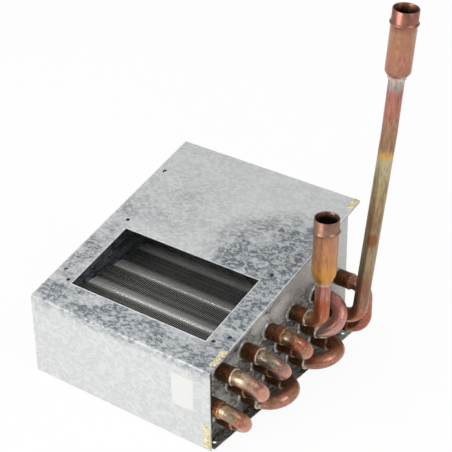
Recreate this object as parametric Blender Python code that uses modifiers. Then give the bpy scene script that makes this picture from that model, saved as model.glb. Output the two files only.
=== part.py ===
"""Finned-coil heat exchanger in a wedge-shaped case of folded sheet metal.

Eighteen tube runs in three staggered rows cross a pack of thin fins. Hairpin tubes join the runs
in pairs at the left end, and brazed return bends join them at the right end, so that all of them
make one circuit from the short connection pipe to the long one. Air passes through the fins into
the plenum above them and leaves by the window in the sloping top.

Frame: +X to the right along the front, +Y to the back, +Z up, metres. The origin lies on the
underside of the front flange, at the middle of the case's width.
"""

import math
from dataclasses import dataclass

import bmesh
import bpy
from mathutils import Matrix, Vector

MM = 0.001

# Clearances
GAP = 0.3 * MM                      # between separate pieces that seat on each other
TUBE_END_GAP = 0.5 * MM             # between a bend's leg and the bottom of its cup

# Sheet metal case
CASE_WIDTH = 218.0 * MM
CASE_DEPTH = 244.4 * MM
FRONT_HEIGHT = 89.6 * MM
TOP_SLOPE = math.radians(14.8)
SHEET = 1.0 * MM
FOLD_RADIUS = 2.0 * MM
FLANGE = 12.5 * MM                  # front and back flanges, measured from the outer face
SIDE_FLANGE = 8.0 * MM              # back wall's flanges against the end plates
END_RECESS = 13.1 * MM              # from the case's edge to the end plate's outer face
CORNER_RELIEF = 4.0 * MM

# Window in the top and the holes round it, measured along the slope from the front edge
WINDOW_SIDE = 26.8 * MM             # from the case's side edge to the window's
WINDOW_LENGTH = 86.4 * MM
WINDOW_FRONT = 30.5 * MM
SCREW_HOLE_RADIUS = 2.2 * MM
WINDOW_HOLE_INSET = 6.6 * MM        # from the window's side edge out to the hole
WINDOW_HOLE_FRONT = 3.2 * MM        # from the window's front edge back to the front holes
WINDOW_HOLE_BACK = 11.0 * MM        # from the window's back edge back to the rear holes
EDGE_HOLE_INSET = 8.9 * MM          # from the case's side edge to the end plate's screw holes
EDGE_HOLE_FRONT = 43.7 * MM
EDGE_HOLE_BACK = 48.8 * MM          # measured from the back edge
FOOT_HOLE_INSET = 6.1 * MM          # from the case's side edge to the holes in the foot flanges
FOOT_HOLE_END = 13.1 * MM           # from the front and back faces to those holes
FOOT_HOLE_RADIUS = 2.0 * MM

# Tubes
TUBE_RADIUS = 6.5 * MM              # of the runs, where they pass through the fins
BEND_RADIUS = 7.5 * MM              # of the return bends' and connection pipes' own tube
CUP_WALL = 0.4 * MM
CUP_DEPTH = 7.0 * MM                # of the bore that takes a bend's leg
CUP_LENGTH = 15.0 * MM              # of the widened part of the run, outside
CUP_LIP = 0.3 * MM                  # how far the flared lip stands out from the cup
CUP_LIP_LENGTH = 1.2 * MM
CUP_TAPER = 1.0 * MM
TUBE_REACH = 18.3 * MM              # from the end plate's outer face to the cup's lip
COLUMNS = 12
LAST_COLUMN = 18.06 * MM            # from the last column to the back wall's outer face
ROW_PITCH = 25.6 * MM
LOWEST_ROW = 19.7 * MM
TUBE_SIDES = 12                     # of the bends, pipes and cups
HOLE_SIDES = 10                     # of the hairpins and of the holes that they pass through
ARC_STEPS = 4                       # in each quarter of a return bend
HAIRPIN_STEPS = 3                   # in each quarter of a hairpin's bend
HAIRPIN_REACH = 3.0 * MM            # from the left end plate's outer face to the hairpin's bend
LOOP_CORNER = 18.2 * MM             # largest corner radius of the lowest row's return bends
UPRIGHT_CORNER = 15.8 * MM          # of the one that joins the top row to the lowest

# Fins
FIN_PITCH = 2.18 * MM
FIN_THICKNESS = 0.45 * MM
FIN_END_GAP = 3.0 * MM              # between the outermost fins and the end plates
FIN_BACK_EDGE = 11.2 * MM           # from the last column to the fins' back edge

# Collars drawn round the tube holes of the end plates
COLLAR_WALL = 0.6 * MM
COLLAR_HEIGHT = 1.8 * MM

# Sockets of the connection pipes
PIPE_WALL = 0.9 * MM
SOCKET_BORE = 11.05 * MM
SOCKET_WALL = 0.95 * MM
SOCKET_BEAD = 1.35 * MM             # how far the bead stands out from the body
SOCKET_RIM = 0.15 * MM              # how far the mouth's rim stands out from the body
BEAD_TOP = 11.2 * MM                # from the mouth down to the bead
BEAD_HEIGHT = 4.6 * MM
BEAD_CREST_LOW = 0.35               # the crest lies between these parts of the bead's height
BEAD_CREST_HIGH = 0.75
NECK_LENGTH = 2.6 * MM
PIPE_SEAT = 5.0 * MM                # how far a pipe's end stands in its socket
SOCKET_STEPS = 16

# Foam sealant smeared over the right-hand corners, on the outside
SEALANT_WIDTH = 6.2 * MM
SEALANT_THICKNESS = 1.2 * MM
FRONT_SEALANT_START = 9.3 * MM      # along the slope from the front edge
FRONT_SEALANT_LENGTH = 19.7 * MM
BACK_SEALANT_LENGTH = 13.5 * MM
FOOT_SEALANT_WIDTH = 8.8 * MM
FOOT_SEALANT_HEIGHT = 28.0 * MM

# Worked out from the sizes above
HOLE_RADIUS = (TUBE_RADIUS + GAP) / math.cos(math.pi / HOLE_SIDES)
COLLAR_RADIUS = HOLE_RADIUS + COLLAR_WALL
CUP_BORE = (BEND_RADIUS + GAP) / math.cos(math.pi / TUBE_SIDES)
CUP_RADIUS = CUP_BORE + CUP_WALL
FIRST_COLUMN = SHEET + GAP + CUP_RADIUS + CUP_LIP
COLUMN_PITCH = (CASE_DEPTH - FIRST_COLUMN - LAST_COLUMN) / (COLUMNS - 1)
RETURN_CORNER = COLUMN_PITCH        # largest corner radius of a return bend
SLOPE_LENGTH = CASE_DEPTH / math.cos(TOP_SLOPE)
WINDOW_WIDTH = CASE_WIDTH - 2 * WINDOW_SIDE
FRONT_Y = -(FOLD_RADIUS + FLANGE) / 2
BACK_Y = FRONT_Y + CASE_DEPTH
PLATE_X = CASE_WIDTH / 2 - END_RECESS
LIP_X = PLATE_X + TUBE_REACH
INNER_X = PLATE_X - SHEET - GAP
FIN_BOTTOM = LOWEST_ROW - ROW_PITCH / 2
FIN_TOP = FIN_BOTTOM + 3 * ROW_PITCH
BORE_LENGTH = CASE_WIDTH * 2

GALVANISED = ("galvanised_steel", (0.53, 0.55, 0.56), 0.45, 1.0)
ALUMINIUM = ("fin_aluminium", (0.42, 0.42, 0.41), 0.4, 1.0)
COPPER = ("tube_copper", (0.62, 0.29, 0.18), 0.38, 1.0)
PIPE_COPPER = ("pipe_copper", (0.50, 0.27, 0.17), 0.42, 1.0)
FOAM = ("sealant_foam", (0.83, 0.79, 0.62), 0.85, 0.0)

# Each tube is named by its row (top, middle or lower) and its number from the front
LEFT_PAIRS = (
    ("T1", "M1"), ("T2", "M2"), ("T3", "M3"), ("T4", "M4"), ("T5", "T6"),
    ("M5", "M6"), ("L1", "L2"), ("L3", "L4"), ("L5", "L6"),
)
# Each return bend: its two runs, its largest corner radius, how far its legs stand out of their
# cups before they turn, and how much it is tipped up, as a slope
RIGHT_PAIRS = (
    ("M1", "L1", RETURN_CORNER, 0.4 * MM, 0.0),
    ("T1", "M2", RETURN_CORNER, 6.0 * MM, 0.0),
    ("T2", "M3", RETURN_CORNER, 2.9 * MM, 0.0),
    ("T3", "M4", RETURN_CORNER, 1.0 * MM, 0.0),
    ("T5", "M5", RETURN_CORNER, 0.8 * MM, 0.10),
    ("T6", "L6", UPRIGHT_CORNER, 0.4 * MM, 0.18),
    ("L2", "L3", LOOP_CORNER, 0.6 * MM, 0.12),
    ("L4", "L5", LOOP_CORNER, 0.4 * MM, 0.16),
)


@dataclass(frozen=True)
class Pipe:
    """A connection pipe that rises from one run, and the socket on its end."""

    name: str
    tube: str
    corner: float                   # from the cup's lip out to the riser's axis, at the run
    elbow: float                    # radius of the elbow's axis
    lean: float                     # of the riser, outwards
    change: float                   # height above which it leans as its socket does
    socket_lean: float
    height: float                   # of the socket's lower end
    length: float                   # of the socket
    taper: float                    # of the socket, from its neck to its body

    def axis(self, height):
        """The point of the riser's axis at a height."""
        y, z = tube_place(self.tube)
        x = LIP_X + self.corner + (min(height, self.change) - z) * math.tan(self.lean)
        return Vector((x + max(height - self.change, 0.0) * math.tan(self.socket_lean), y, height))


SHORT_PIPE = Pipe(
    name="short_pipe", tube="T4", corner=15.5 * MM, elbow=13.1 * MM,
    lean=math.radians(1.9), change=104.0 * MM, socket_lean=math.radians(1.9),
    height=117.8 * MM, length=70.8 * MM, taper=11.4 * MM,
)
LONG_PIPE = Pipe(
    name="long_pipe", tube="M6", corner=21.1 * MM, elbow=18.7 * MM,
    lean=math.radians(6.6), change=259.5 * MM, socket_lean=math.radians(5.0),
    height=315.6 * MM, length=67.3 * MM, taper=5.2 * MM,
)


def clear_scene():
    """Removes the objects that the scene opens with."""
    for obj in list(bpy.data.objects):
        bpy.data.objects.remove(obj, do_unlink=True)


def new_collection(name, hidden=False):
    """Adds a collection to the scene."""
    collection = bpy.data.collections.new(name)
    collection.hide_render = hidden
    bpy.context.scene.collection.children.link(collection)
    return collection


def make_material(finish):
    """Makes the Principled material of a finish, once."""
    name, colour, roughness, metallic = finish
    found = bpy.data.materials.get(name)
    if found:
        return found
    material = bpy.data.materials.new(name)
    material.use_nodes = True
    shader = material.node_tree.nodes["Principled BSDF"]
    shader.inputs["Base Color"].default_value = (*colour, 1.0)
    shader.inputs["Roughness"].default_value = roughness
    shader.inputs["Metallic"].default_value = metallic
    return material


def add_part(name, data, finish):
    """Puts a mesh or curve into the object's collection under the frame empty."""
    obj = bpy.data.objects.new(name, data)
    data.materials.append(make_material(finish))
    PARTS.objects.link(obj)
    obj.parent = FRAME
    return obj


def mesh_from(bm, name):
    """Turns a bmesh into a mesh and frees it."""
    mesh = bpy.data.meshes.new(name)
    bm.to_mesh(mesh)
    bm.free()
    return mesh


def add_cutter(name, bm):
    """Makes a cutter from a bmesh, shown as wire and left out of renders."""
    bmesh.ops.recalc_face_normals(bm, faces=bm.faces)
    cutter = bpy.data.objects.new(name, mesh_from(bm, name))
    cutter.display_type = "WIRE"
    cutter.hide_render = True
    CUTTERS.objects.link(cutter)
    return cutter


def boolean(obj, cutter, operation):
    """Cuts or joins an object with another."""
    modifier = obj.modifiers.new(cutter.name, "BOOLEAN")
    modifier.operation = operation
    modifier.solver = "EXACT"
    modifier.object = cutter


def add_box(bm, low, high, matrix=None):
    """Adds a box between two corners to a bmesh, then moves it by a matrix."""
    low, high = Vector(low), Vector(high)
    place = Matrix.Translation((low + high) / 2) @ Matrix.Diagonal((*(high - low), 1.0))
    bmesh.ops.create_cube(bm, size=1.0, matrix=(matrix or Matrix.Identity(4)) @ place)


def add_cylinder(bm, matrix, radius, length, sides):
    """Adds a cylinder along the matrix's Z axis, centred on it, to a bmesh."""
    bmesh.ops.create_cone(
        bm, cap_ends=True, segments=sides, radius1=radius, radius2=radius, depth=length, matrix=matrix
    )


def along_x(x, y, z):
    """The matrix of a cylinder that lies along X, centred on a point."""
    return Matrix.Translation((x, y, z)) @ Matrix.Rotation(math.pi / 2, 4, "Y")


def shade_round(mesh, angle=40.0):
    """Shades a mesh smooth up to an edge angle."""
    mesh.shade_smooth()
    mesh.set_sharp_from_angle(angle=math.radians(angle))


def fold_sheet(obj):
    """Rounds the folds of an open surface and gives it the sheet's thickness behind it."""
    bevel = obj.modifiers.new("folds", "BEVEL")
    bevel.width = FOLD_RADIUS
    bevel.segments = 3
    bevel.limit_method = "ANGLE"
    bevel.angle_limit = math.radians(30)
    solid = obj.modifiers.new("sheet", "SOLIDIFY")
    solid.thickness = SHEET
    solid.offset = -1.0
    solid.use_even_offset = True


def top_point(x, distance, depth=0.0):
    """A point on the top plate, by its distance along the slope and its depth below the face."""
    y = FRONT_Y + distance * math.cos(TOP_SLOPE) + depth * math.sin(TOP_SLOPE)
    z = FRONT_HEIGHT + distance * math.sin(TOP_SLOPE) - depth * math.cos(TOP_SLOPE)
    return Vector((x, y, z))


def under_top(y):
    """Height of the face that seats a gap below the top plate, at a distance to the back."""
    return FRONT_HEIGHT + (y - FRONT_Y) * math.tan(TOP_SLOPE) - (SHEET + GAP) / math.cos(TOP_SLOPE)


def tube_place(name):
    """The Y and Z of a tube run, from its row letter and number."""
    row = "LMT".index(name[0])
    column = 2 * (int(name[1]) - 1) + (0 if row == 1 else 1)
    return FRONT_Y + FIRST_COLUMN + column * COLUMN_PITCH, LOWEST_ROW + row * ROW_PITCH


def all_tubes():
    """The names of the eighteen tube runs."""
    return [row + str(number) for row in "TML" for number in range(1, COLUMNS // 2 + 1)]


def tube_cylinders(name, centre_x, radius, length):
    """A cutter with one cylinder on each tube run."""
    bm = bmesh.new()
    for tube in all_tubes():
        y, z = tube_place(tube)
        add_cylinder(bm, along_x(centre_x, y, z), radius, length, HOLE_SIDES)
    return add_cutter(name, bm)


def edge_holes(name, sides):
    """A cutter for the screw holes that pass through the top plate and the end plates' flanges."""
    bm = bmesh.new()
    turn = Matrix.Rotation(TOP_SLOPE, 4, "X")
    for side in sides:
        for distance in (EDGE_HOLE_FRONT, SLOPE_LENGTH - EDGE_HOLE_BACK):
            place = Matrix.Translation(top_point(side * (CASE_WIDTH / 2 - EDGE_HOLE_INSET), distance))
            add_cylinder(bm, place @ turn, SCREW_HOLE_RADIUS, FLANGE, HOLE_SIDES)
    return add_cutter(name, bm)


def make_cover():
    """Front wall, its bottom flange and the sloping top, folded from one sheet."""
    profile = (
        (FRONT_Y + FLANGE, 0.0),
        (FRONT_Y, 0.0),
        (FRONT_Y, FRONT_HEIGHT),
        (BACK_Y, FRONT_HEIGHT + CASE_DEPTH * math.tan(TOP_SLOPE)),
    )
    bm = bmesh.new()
    points = [bm.verts.new((-CASE_WIDTH / 2, y, z)) for y, z in profile]
    chain = [bm.edges.new(pair) for pair in zip(points, points[1:])]
    swept = bmesh.ops.extrude_edge_only(bm, edges=chain)["geom"]
    new_points = [item for item in swept if isinstance(item, bmesh.types.BMVert)]
    bmesh.ops.translate(bm, verts=new_points, vec=(CASE_WIDTH, 0.0, 0.0))
    bmesh.ops.recalc_face_normals(bm, faces=bm.faces)
    bm.faces.ensure_lookup_table()
    if min(face.normal.y for face in bm.faces) > -0.9:
        bmesh.ops.reverse_faces(bm, faces=bm.faces)
    cover = add_part("cover", mesh_from(bm, "cover"), GALVANISED)
    fold_sheet(cover)

    bm = bmesh.new()
    turn = Matrix.Translation(top_point(0.0, 0.0)) @ Matrix.Rotation(TOP_SLOPE, 4, "X")
    add_box(
        bm,
        (-WINDOW_WIDTH / 2, WINDOW_FRONT, -FLANGE),
        (WINDOW_WIDTH / 2, WINDOW_FRONT + WINDOW_LENGTH, FLANGE),
        turn,
    )
    for side in (-1, 1):
        x = side * (WINDOW_WIDTH / 2 + WINDOW_HOLE_INSET)
        for distance in (WINDOW_FRONT + WINDOW_HOLE_FRONT, WINDOW_FRONT + WINDOW_LENGTH + WINDOW_HOLE_BACK):
            place = turn @ Matrix.Translation((x, distance, 0.0))
            add_cylinder(bm, place, SCREW_HOLE_RADIUS, FLANGE, HOLE_SIDES)
    boolean(cover, add_cutter("window_and_screw_holes", bm), "DIFFERENCE")
    boolean(cover, edge_holes("cover_edge_holes", (-1, 1)), "DIFFERENCE")

    bm = bmesh.new()
    for side in (-1, 1):
        low_x, high_x = sorted((side * INNER_X, side * CASE_WIDTH))
        low = (low_x, FRONT_Y + SHEET, -FLANGE)
        add_box(bm, low, (high_x, FRONT_Y + 2 * FLANGE, FOLD_RADIUS + SHEET))
    boolean(cover, add_cutter("front_flange_notches", bm), "DIFFERENCE")


def folded_tray(outline, moves):
    """An open surface: a flat outline whose edges, by their index, are drawn out as flanges."""
    bm = bmesh.new()
    points = [bm.verts.new(point) for point in outline]
    bm.faces.new(points)
    for index, move in moves.items():
        edge = bm.edges.get((points[index], points[(index + 1) % len(points)]))
        drawn = bmesh.ops.extrude_edge_only(bm, edges=[edge])["geom"]
        moved = [item for item in drawn if isinstance(item, bmesh.types.BMVert)]
        bmesh.ops.translate(bm, verts=moved, vec=move)
    bmesh.ops.recalc_face_normals(bm, faces=bm.faces)
    return bm


def face_towards(bm, direction):
    """Turns the whole surface over if the tray's flat face looks away from a direction."""
    bm.faces.ensure_lookup_table()
    if bm.faces[0].normal.dot(Vector(direction)) < 0:
        bmesh.ops.reverse_faces(bm, faces=bm.faces)


def make_end_plate(name, side):
    """Tube sheet with a collared hole for each run and flanges turned outwards, top and bottom."""
    x = side * (PLATE_X - SHEET)
    front, back = FRONT_Y + SHEET + GAP, BACK_Y
    outline = [
        (x, front + CORNER_RELIEF, 0.0),
        (x, back, 0.0),
        (x, back, under_top(back)),
        (x, front + CORNER_RELIEF, under_top(front + CORNER_RELIEF)),
        (x, front, under_top(front) - CORNER_RELIEF),
        (x, front, CORNER_RELIEF),
    ]
    out = Vector((side * (END_RECESS + SHEET), 0.0, 0.0))
    bm = folded_tray(outline, {0: out, 2: out})
    face_towards(bm, (-side, 0.0, 0.0))
    plate = add_part(name, mesh_from(bm, name), GALVANISED)
    fold_sheet(plate)

    length = COLLAR_HEIGHT + SHEET / 2
    centre = side * (PLATE_X + COLLAR_HEIGHT - length / 2)
    boolean(plate, tube_cylinders(name + "_collars", centre, COLLAR_RADIUS, length), "UNION")
    boolean(plate, tube_cylinders(name + "_tube_holes", centre, HOLE_RADIUS, FLANGE), "DIFFERENCE")
    boolean(plate, edge_holes(name + "_screw_holes", (side,)), "DIFFERENCE")
    bm = bmesh.new()
    for y in (FRONT_Y + FOOT_HOLE_END, BACK_Y - FOOT_HOLE_END):
        place = Matrix.Translation((side * (CASE_WIDTH / 2 - FOOT_HOLE_INSET), y, 0.0))
        add_cylinder(bm, place, FOOT_HOLE_RADIUS, 4 * SHEET, HOLE_SIDES)
    boolean(plate, add_cutter(name + "_foot_holes", bm), "DIFFERENCE")


def make_back_wall():
    """Back sheet between the end plates, with flanges turned forwards all round."""
    top = under_top(BACK_Y)
    outline = [
        (-INNER_X + CORNER_RELIEF, BACK_Y, 0.0),
        (INNER_X - CORNER_RELIEF, BACK_Y, 0.0),
        (INNER_X, BACK_Y, CORNER_RELIEF),
        (INNER_X, BACK_Y, top - CORNER_RELIEF),
        (INNER_X - CORNER_RELIEF, BACK_Y, top),
        (-INNER_X + CORNER_RELIEF, BACK_Y, top),
        (-INNER_X, BACK_Y, top - CORNER_RELIEF),
        (-INNER_X, BACK_Y, CORNER_RELIEF),
    ]
    forwards = Vector((0.0, -FLANGE, 0.0))
    slope = Vector((0.0, -FLANGE, -FLANGE * math.tan(TOP_SLOPE)))
    inwards = Vector((0.0, -SIDE_FLANGE, 0.0))
    bm = folded_tray(outline, {0: forwards, 2: inwards, 4: slope, 6: inwards})
    face_towards(bm, (0.0, 1.0, 0.0))
    fold_sheet(add_part("back_wall", mesh_from(bm, "back_wall"), GALVANISED))


def make_fin_pack():
    """Fin pack: a comb of fins, open above and below the tube rows, bored for each run."""
    reach = 2 * (PLATE_X - SHEET - FIN_END_GAP)
    count = int((reach - FIN_THICKNESS) / FIN_PITCH) + 1
    width = (count - 1) * FIN_PITCH + FIN_THICKNESS
    front = FRONT_Y + SHEET + GAP
    back = FRONT_Y + FIRST_COLUMN + (COLUMNS - 1) * COLUMN_PITCH + FIN_BACK_EDGE
    bm = bmesh.new()
    add_box(bm, (-width / 2, front, FIN_BOTTOM), (width / 2, back, FIN_TOP))
    pack = add_part("fin_pack", mesh_from(bm, "fin_pack"), ALUMINIUM)

    top_row = LOWEST_ROW + 2 * ROW_PITCH
    first = -width / 2 + FIN_THICKNESS
    for name, low, high in (
        ("upper_fin_gaps", top_row + HOLE_RADIUS + GAP, FIN_TOP + FLANGE),
        ("lower_fin_gaps", FIN_BOTTOM - FLANGE, LOWEST_ROW - HOLE_RADIUS - GAP),
    ):
        bm = bmesh.new()
        add_box(bm, (first, front - FLANGE, low), (first + FIN_PITCH - FIN_THICKNESS, back + FLANGE, high))
        cutter = add_cutter(name, bm)
        row = cutter.modifiers.new("fin_pitch", "ARRAY")
        row.count = count - 1
        row.use_relative_offset = False
        row.use_constant_offset = True
        row.constant_offset_displace = (FIN_PITCH, 0.0, 0.0)
        boolean(pack, cutter, "DIFFERENCE")
    boolean(pack, tube_cylinders("fin_bores", 0.0, HOLE_RADIUS, BORE_LENGTH), "DIFFERENCE")


def bend_path(start, end, leg_x, turn_x, corner, count):
    """Points of a U: out along X from one run, round to the other, and back along X."""
    start, end = Vector((0.0, *start)), Vector((0.0, *end))
    across = (end - start).normalized()
    out = Vector((math.copysign(1.0, turn_x - leg_x), 0.0, 0.0))
    corner = min(corner, (end - start).length / 2)
    steps = [math.pi / 2 * index / count for index in range(count + 1)]
    base = Vector((turn_x, 0.0, 0.0))
    first = start + base + across * corner
    last = end + base - across * corner
    points = [start + Vector((leg_x, 0.0, 0.0))]
    points += [first - across * corner * math.cos(a) + out * corner * math.sin(a) for a in steps]
    arc = [last + across * corner * math.sin(a) + out * corner * math.cos(a) for a in steps]
    if (arc[0] - points[-1]).length < GAP:
        arc = arc[1:]
    return points + arc + [end + Vector((leg_x, 0.0, 0.0))]


def elbow_path(pipe, leg_x):
    """Points of a pipe that leaves its run along X, turns up and rises into its socket."""
    y, z = tube_place(pipe.tube)
    turn = math.pi / 2 - pipe.lean
    start = Vector((LIP_X + pipe.corner - pipe.elbow * math.tan(turn / 2), y, z))
    points = [Vector((leg_x, y, z)), Vector((LIP_X, y, z))]
    count = 2 * ARC_STEPS - 1
    for index in range(count + 1):
        angle = turn * index / count
        points.append(start + pipe.elbow * Vector((math.sin(angle), 0.0, 1.0 - math.cos(angle))))
    return points + [pipe.axis(pipe.change), pipe.axis(pipe.height + PIPE_SEAT)]


def tube_curve(name, points, radii, sides, finish, caps=True):
    """A round tube along a list of points, with its own radius at each point."""
    curve = bpy.data.curves.new(name, "CURVE")
    curve.dimensions = "3D"
    curve.bevel_depth = 1.0
    curve.bevel_resolution = sides // 2 - 2
    curve.use_fill_caps = caps
    spline = curve.splines.new("POLY")
    spline.points.add(len(points) - 1)
    for item, point, radius in zip(spline.points, points, radii):
        item.co = (*point, 1.0)
        item.radius = radius
    return add_part(name, curve, finish)


def curve_to_mesh(obj):
    """Replaces a curve object by a mesh object of the same shape and name."""
    name, matrix, finish = obj.name, obj.matrix_world.copy(), obj.data.materials[0]
    graph = bpy.context.evaluated_depsgraph_get()
    mesh = bpy.data.meshes.new_from_object(obj.evaluated_get(graph))
    bm = bmesh.new()
    bm.from_mesh(mesh)
    bmesh.ops.remove_doubles(bm, verts=bm.verts, dist=0.01 * MM)
    bm.to_mesh(mesh)
    bm.free()
    bpy.data.objects.remove(obj, do_unlink=True)
    mesh.name = name
    mesh.materials.clear()
    mesh.materials.append(finish)
    shade_round(mesh)
    solid = bpy.data.objects.new(name, mesh)
    PARTS.objects.link(solid)
    solid.matrix_world = matrix
    solid.parent = FRAME
    return solid


def make_hairpin(number, pair):
    """Hairpin tube: two runs, the bend that joins them at the left, a cup at each right end."""
    turn_x = -(PLATE_X + HAIRPIN_REACH)
    places = [tube_place(tube) for tube in pair]
    points = bend_path(*places, LIP_X, turn_x, CASE_WIDTH, HAIRPIN_STEPS)
    flare = (
        (0.0, CUP_RADIUS + CUP_LIP),
        (CUP_LIP_LENGTH, CUP_RADIUS),
        (CUP_LENGTH, CUP_RADIUS),
        (CUP_LENGTH + CUP_TAPER, TUBE_RADIUS),
    )
    first = [points[0] - Vector((step, 0.0, 0.0)) for step, _ in flare]
    last = [points[-1] - Vector((step, 0.0, 0.0)) for step, _ in reversed(flare)]
    middle = points[1:-1]
    radii = [radius for _, radius in flare]
    radii = radii + [TUBE_RADIUS] * len(middle) + radii[::-1]
    name = "hairpin_%d" % number
    hairpin = curve_to_mesh(tube_curve(name, first + middle + last, radii, HOLE_SIDES, COPPER))
    bm = bmesh.new()
    for y, z in places:
        add_cylinder(bm, along_x(LIP_X, y, z), CUP_BORE, 2 * CUP_DEPTH, TUBE_SIDES)
    boolean(hairpin, add_cutter(name + "_cups", bm), "DIFFERENCE")


def make_return_bend(number, start, end, corner, stand, lift):
    """Return bend brazed into the cups of two runs, tipped up a little beyond their lips."""
    leg_x = LIP_X - CUP_DEPTH + TUBE_END_GAP
    points = bend_path(tube_place(start), tube_place(end), leg_x, LIP_X + stand, corner, ARC_STEPS)
    points = [point + Vector((0.0, 0.0, lift * max(point.x - LIP_X, 0.0))) for point in points]
    radii = [BEND_RADIUS] * len(points)
    tube_curve("return_bend_%d" % number, points, radii, TUBE_SIDES, COPPER)


def make_pipe(pipe):
    """Connection pipe: an open tube from the cup of its run into its socket."""
    points = elbow_path(pipe, LIP_X - CUP_DEPTH + TUBE_END_GAP)
    radii = [BEND_RADIUS] * len(points)
    tube = curve_to_mesh(tube_curve(pipe.name, points, radii, TUBE_SIDES, PIPE_COPPER, caps=False))
    wall = tube.modifiers.new("wall", "SOLIDIFY")
    wall.thickness = PIPE_WALL
    wall.offset = -1.0


def make_socket(pipe):
    """Socket on a connection pipe: neck, taper, body, solder bead and mouth, turned as one."""
    body = SOCKET_BORE + SOCKET_WALL
    neck_bore = (BEND_RADIUS + GAP) / math.cos(math.pi / SOCKET_STEPS)
    neck = neck_bore + SOCKET_WALL
    bead_low = pipe.length - BEAD_TOP - BEAD_HEIGHT
    swell = NECK_LENGTH + pipe.taper
    profile = (
        (body + SOCKET_RIM, pipe.length),
        (body + SOCKET_RIM, pipe.length - BEAD_TOP),
        (body + SOCKET_BEAD, bead_low + BEAD_CREST_HIGH * BEAD_HEIGHT),
        (body + SOCKET_BEAD, bead_low + BEAD_CREST_LOW * BEAD_HEIGHT),
        (body, bead_low),
        (body, swell),
        ((body + neck) / 2 + SOCKET_WALL, swell - pipe.taper / 2),
        (neck, NECK_LENGTH),
        (neck, 0.0),
        (neck_bore, 0.0),
        (neck_bore, PIPE_SEAT + 2 * GAP),
        (SOCKET_BORE, max(swell, PIPE_SEAT) + SOCKET_WALL),
        (SOCKET_BORE, pipe.length),
    )
    name = pipe.name + "_socket"
    bm = bmesh.new()
    points = [bm.verts.new((radius, 0.0, z)) for radius, z in profile]
    for pair in zip(points, points[1:] + points[:1]):
        bm.edges.new(pair)
    socket = add_part(name, mesh_from(bm, name), PIPE_COPPER)
    turned = socket.modifiers.new("turned", "SCREW")
    turned.steps = SOCKET_STEPS
    turned.render_steps = SOCKET_STEPS
    turned.use_merge_vertices = True
    turned.merge_threshold = 0.01 * MM
    socket.location = pipe.axis(pipe.height)
    socket.rotation_euler = (0.0, pipe.socket_lean, 0.0)


def make_smear(name, width, length, place, turn):
    """A flat smear of sealant, a gap above the sheet, its edges rounded over."""
    bm = bmesh.new()
    add_box(bm, (-width, 0.0, GAP), (0.0, length, GAP + SEALANT_THICKNESS))
    smear = add_part(name, mesh_from(bm, name), FOAM)
    bevel = smear.modifiers.new("rounded", "BEVEL")
    bevel.width = SEALANT_THICKNESS / 3
    bevel.segments = 2
    bevel.limit_method = "NONE"
    smear.location = place
    smear.rotation_euler = (turn, 0.0, 0.0)


def make_sealant():
    """Foam sealant at the right edge: on the top, front and back, and at the foot of the front."""
    edge = CASE_WIDTH / 2
    make_smear(
        "front_top_sealant", SEALANT_WIDTH, FRONT_SEALANT_LENGTH,
        top_point(edge, FRONT_SEALANT_START), TOP_SLOPE,
    )
    make_smear(
        "back_top_sealant", SEALANT_WIDTH, BACK_SEALANT_LENGTH,
        top_point(edge, SLOPE_LENGTH - BACK_SEALANT_LENGTH), TOP_SLOPE,
    )
    make_smear(
        "front_foot_sealant", FOOT_SEALANT_WIDTH, FOOT_SEALANT_HEIGHT,
        (edge, FRONT_Y, FOLD_RADIUS), math.pi / 2,
    )


def build():
    """Builds every piece of the heat exchanger."""
    make_cover()
    make_end_plate("left_end_plate", -1)
    make_end_plate("right_end_plate", 1)
    make_back_wall()
    make_fin_pack()
    for number, pair in enumerate(LEFT_PAIRS, start=1):
        make_hairpin(number, pair)
    for number, bend in enumerate(RIGHT_PAIRS, start=1):
        make_return_bend(number, *bend)
    for pipe in (SHORT_PIPE, LONG_PIPE):
        make_pipe(pipe)
        make_socket(pipe)
    make_sealant()


clear_scene()
PARTS = new_collection("heat_exchanger")
CUTTERS = new_collection("cutters", hidden=True)
FRAME = bpy.data.objects.new("heat_exchanger_frame", None)
PARTS.objects.link(FRAME)
build()
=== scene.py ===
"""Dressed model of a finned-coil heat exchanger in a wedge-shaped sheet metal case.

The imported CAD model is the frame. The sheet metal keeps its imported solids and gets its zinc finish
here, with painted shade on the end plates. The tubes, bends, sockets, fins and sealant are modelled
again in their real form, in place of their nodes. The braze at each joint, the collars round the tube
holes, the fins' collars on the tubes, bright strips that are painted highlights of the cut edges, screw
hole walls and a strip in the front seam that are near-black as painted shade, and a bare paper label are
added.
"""

import logging
import math
import random
from dataclasses import dataclass
from enum import Enum
from typing import Any, Sequence

import bpy
from bpy.types import Material, Node, NodeSocket, NodeTree, Object
from mathutils import Matrix, Vector


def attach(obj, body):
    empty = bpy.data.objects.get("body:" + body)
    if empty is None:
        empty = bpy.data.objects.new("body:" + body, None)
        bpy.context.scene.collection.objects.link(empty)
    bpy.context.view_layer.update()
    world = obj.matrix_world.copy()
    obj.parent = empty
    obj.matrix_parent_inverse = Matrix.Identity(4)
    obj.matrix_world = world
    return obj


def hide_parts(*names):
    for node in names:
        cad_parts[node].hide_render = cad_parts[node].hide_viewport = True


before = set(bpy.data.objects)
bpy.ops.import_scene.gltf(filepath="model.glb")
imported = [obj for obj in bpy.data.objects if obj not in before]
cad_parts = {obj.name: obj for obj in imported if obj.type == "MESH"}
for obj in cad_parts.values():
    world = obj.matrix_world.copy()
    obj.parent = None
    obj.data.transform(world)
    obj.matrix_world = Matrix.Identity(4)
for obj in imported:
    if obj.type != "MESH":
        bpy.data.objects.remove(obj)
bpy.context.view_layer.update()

LOG = logging.getLogger("heat_exchanger")
MM = 0.001
BODY = "root"
Colour = tuple[float, float, float, float]
Pair = tuple[float, float]
Span = tuple[float, float]
Station = tuple[float, float]
Triple = tuple[float, float, float]
Stops = tuple[tuple[float, str], ...]
WELD = 0.001 * MM  # vertices closer than this are merged
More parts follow.
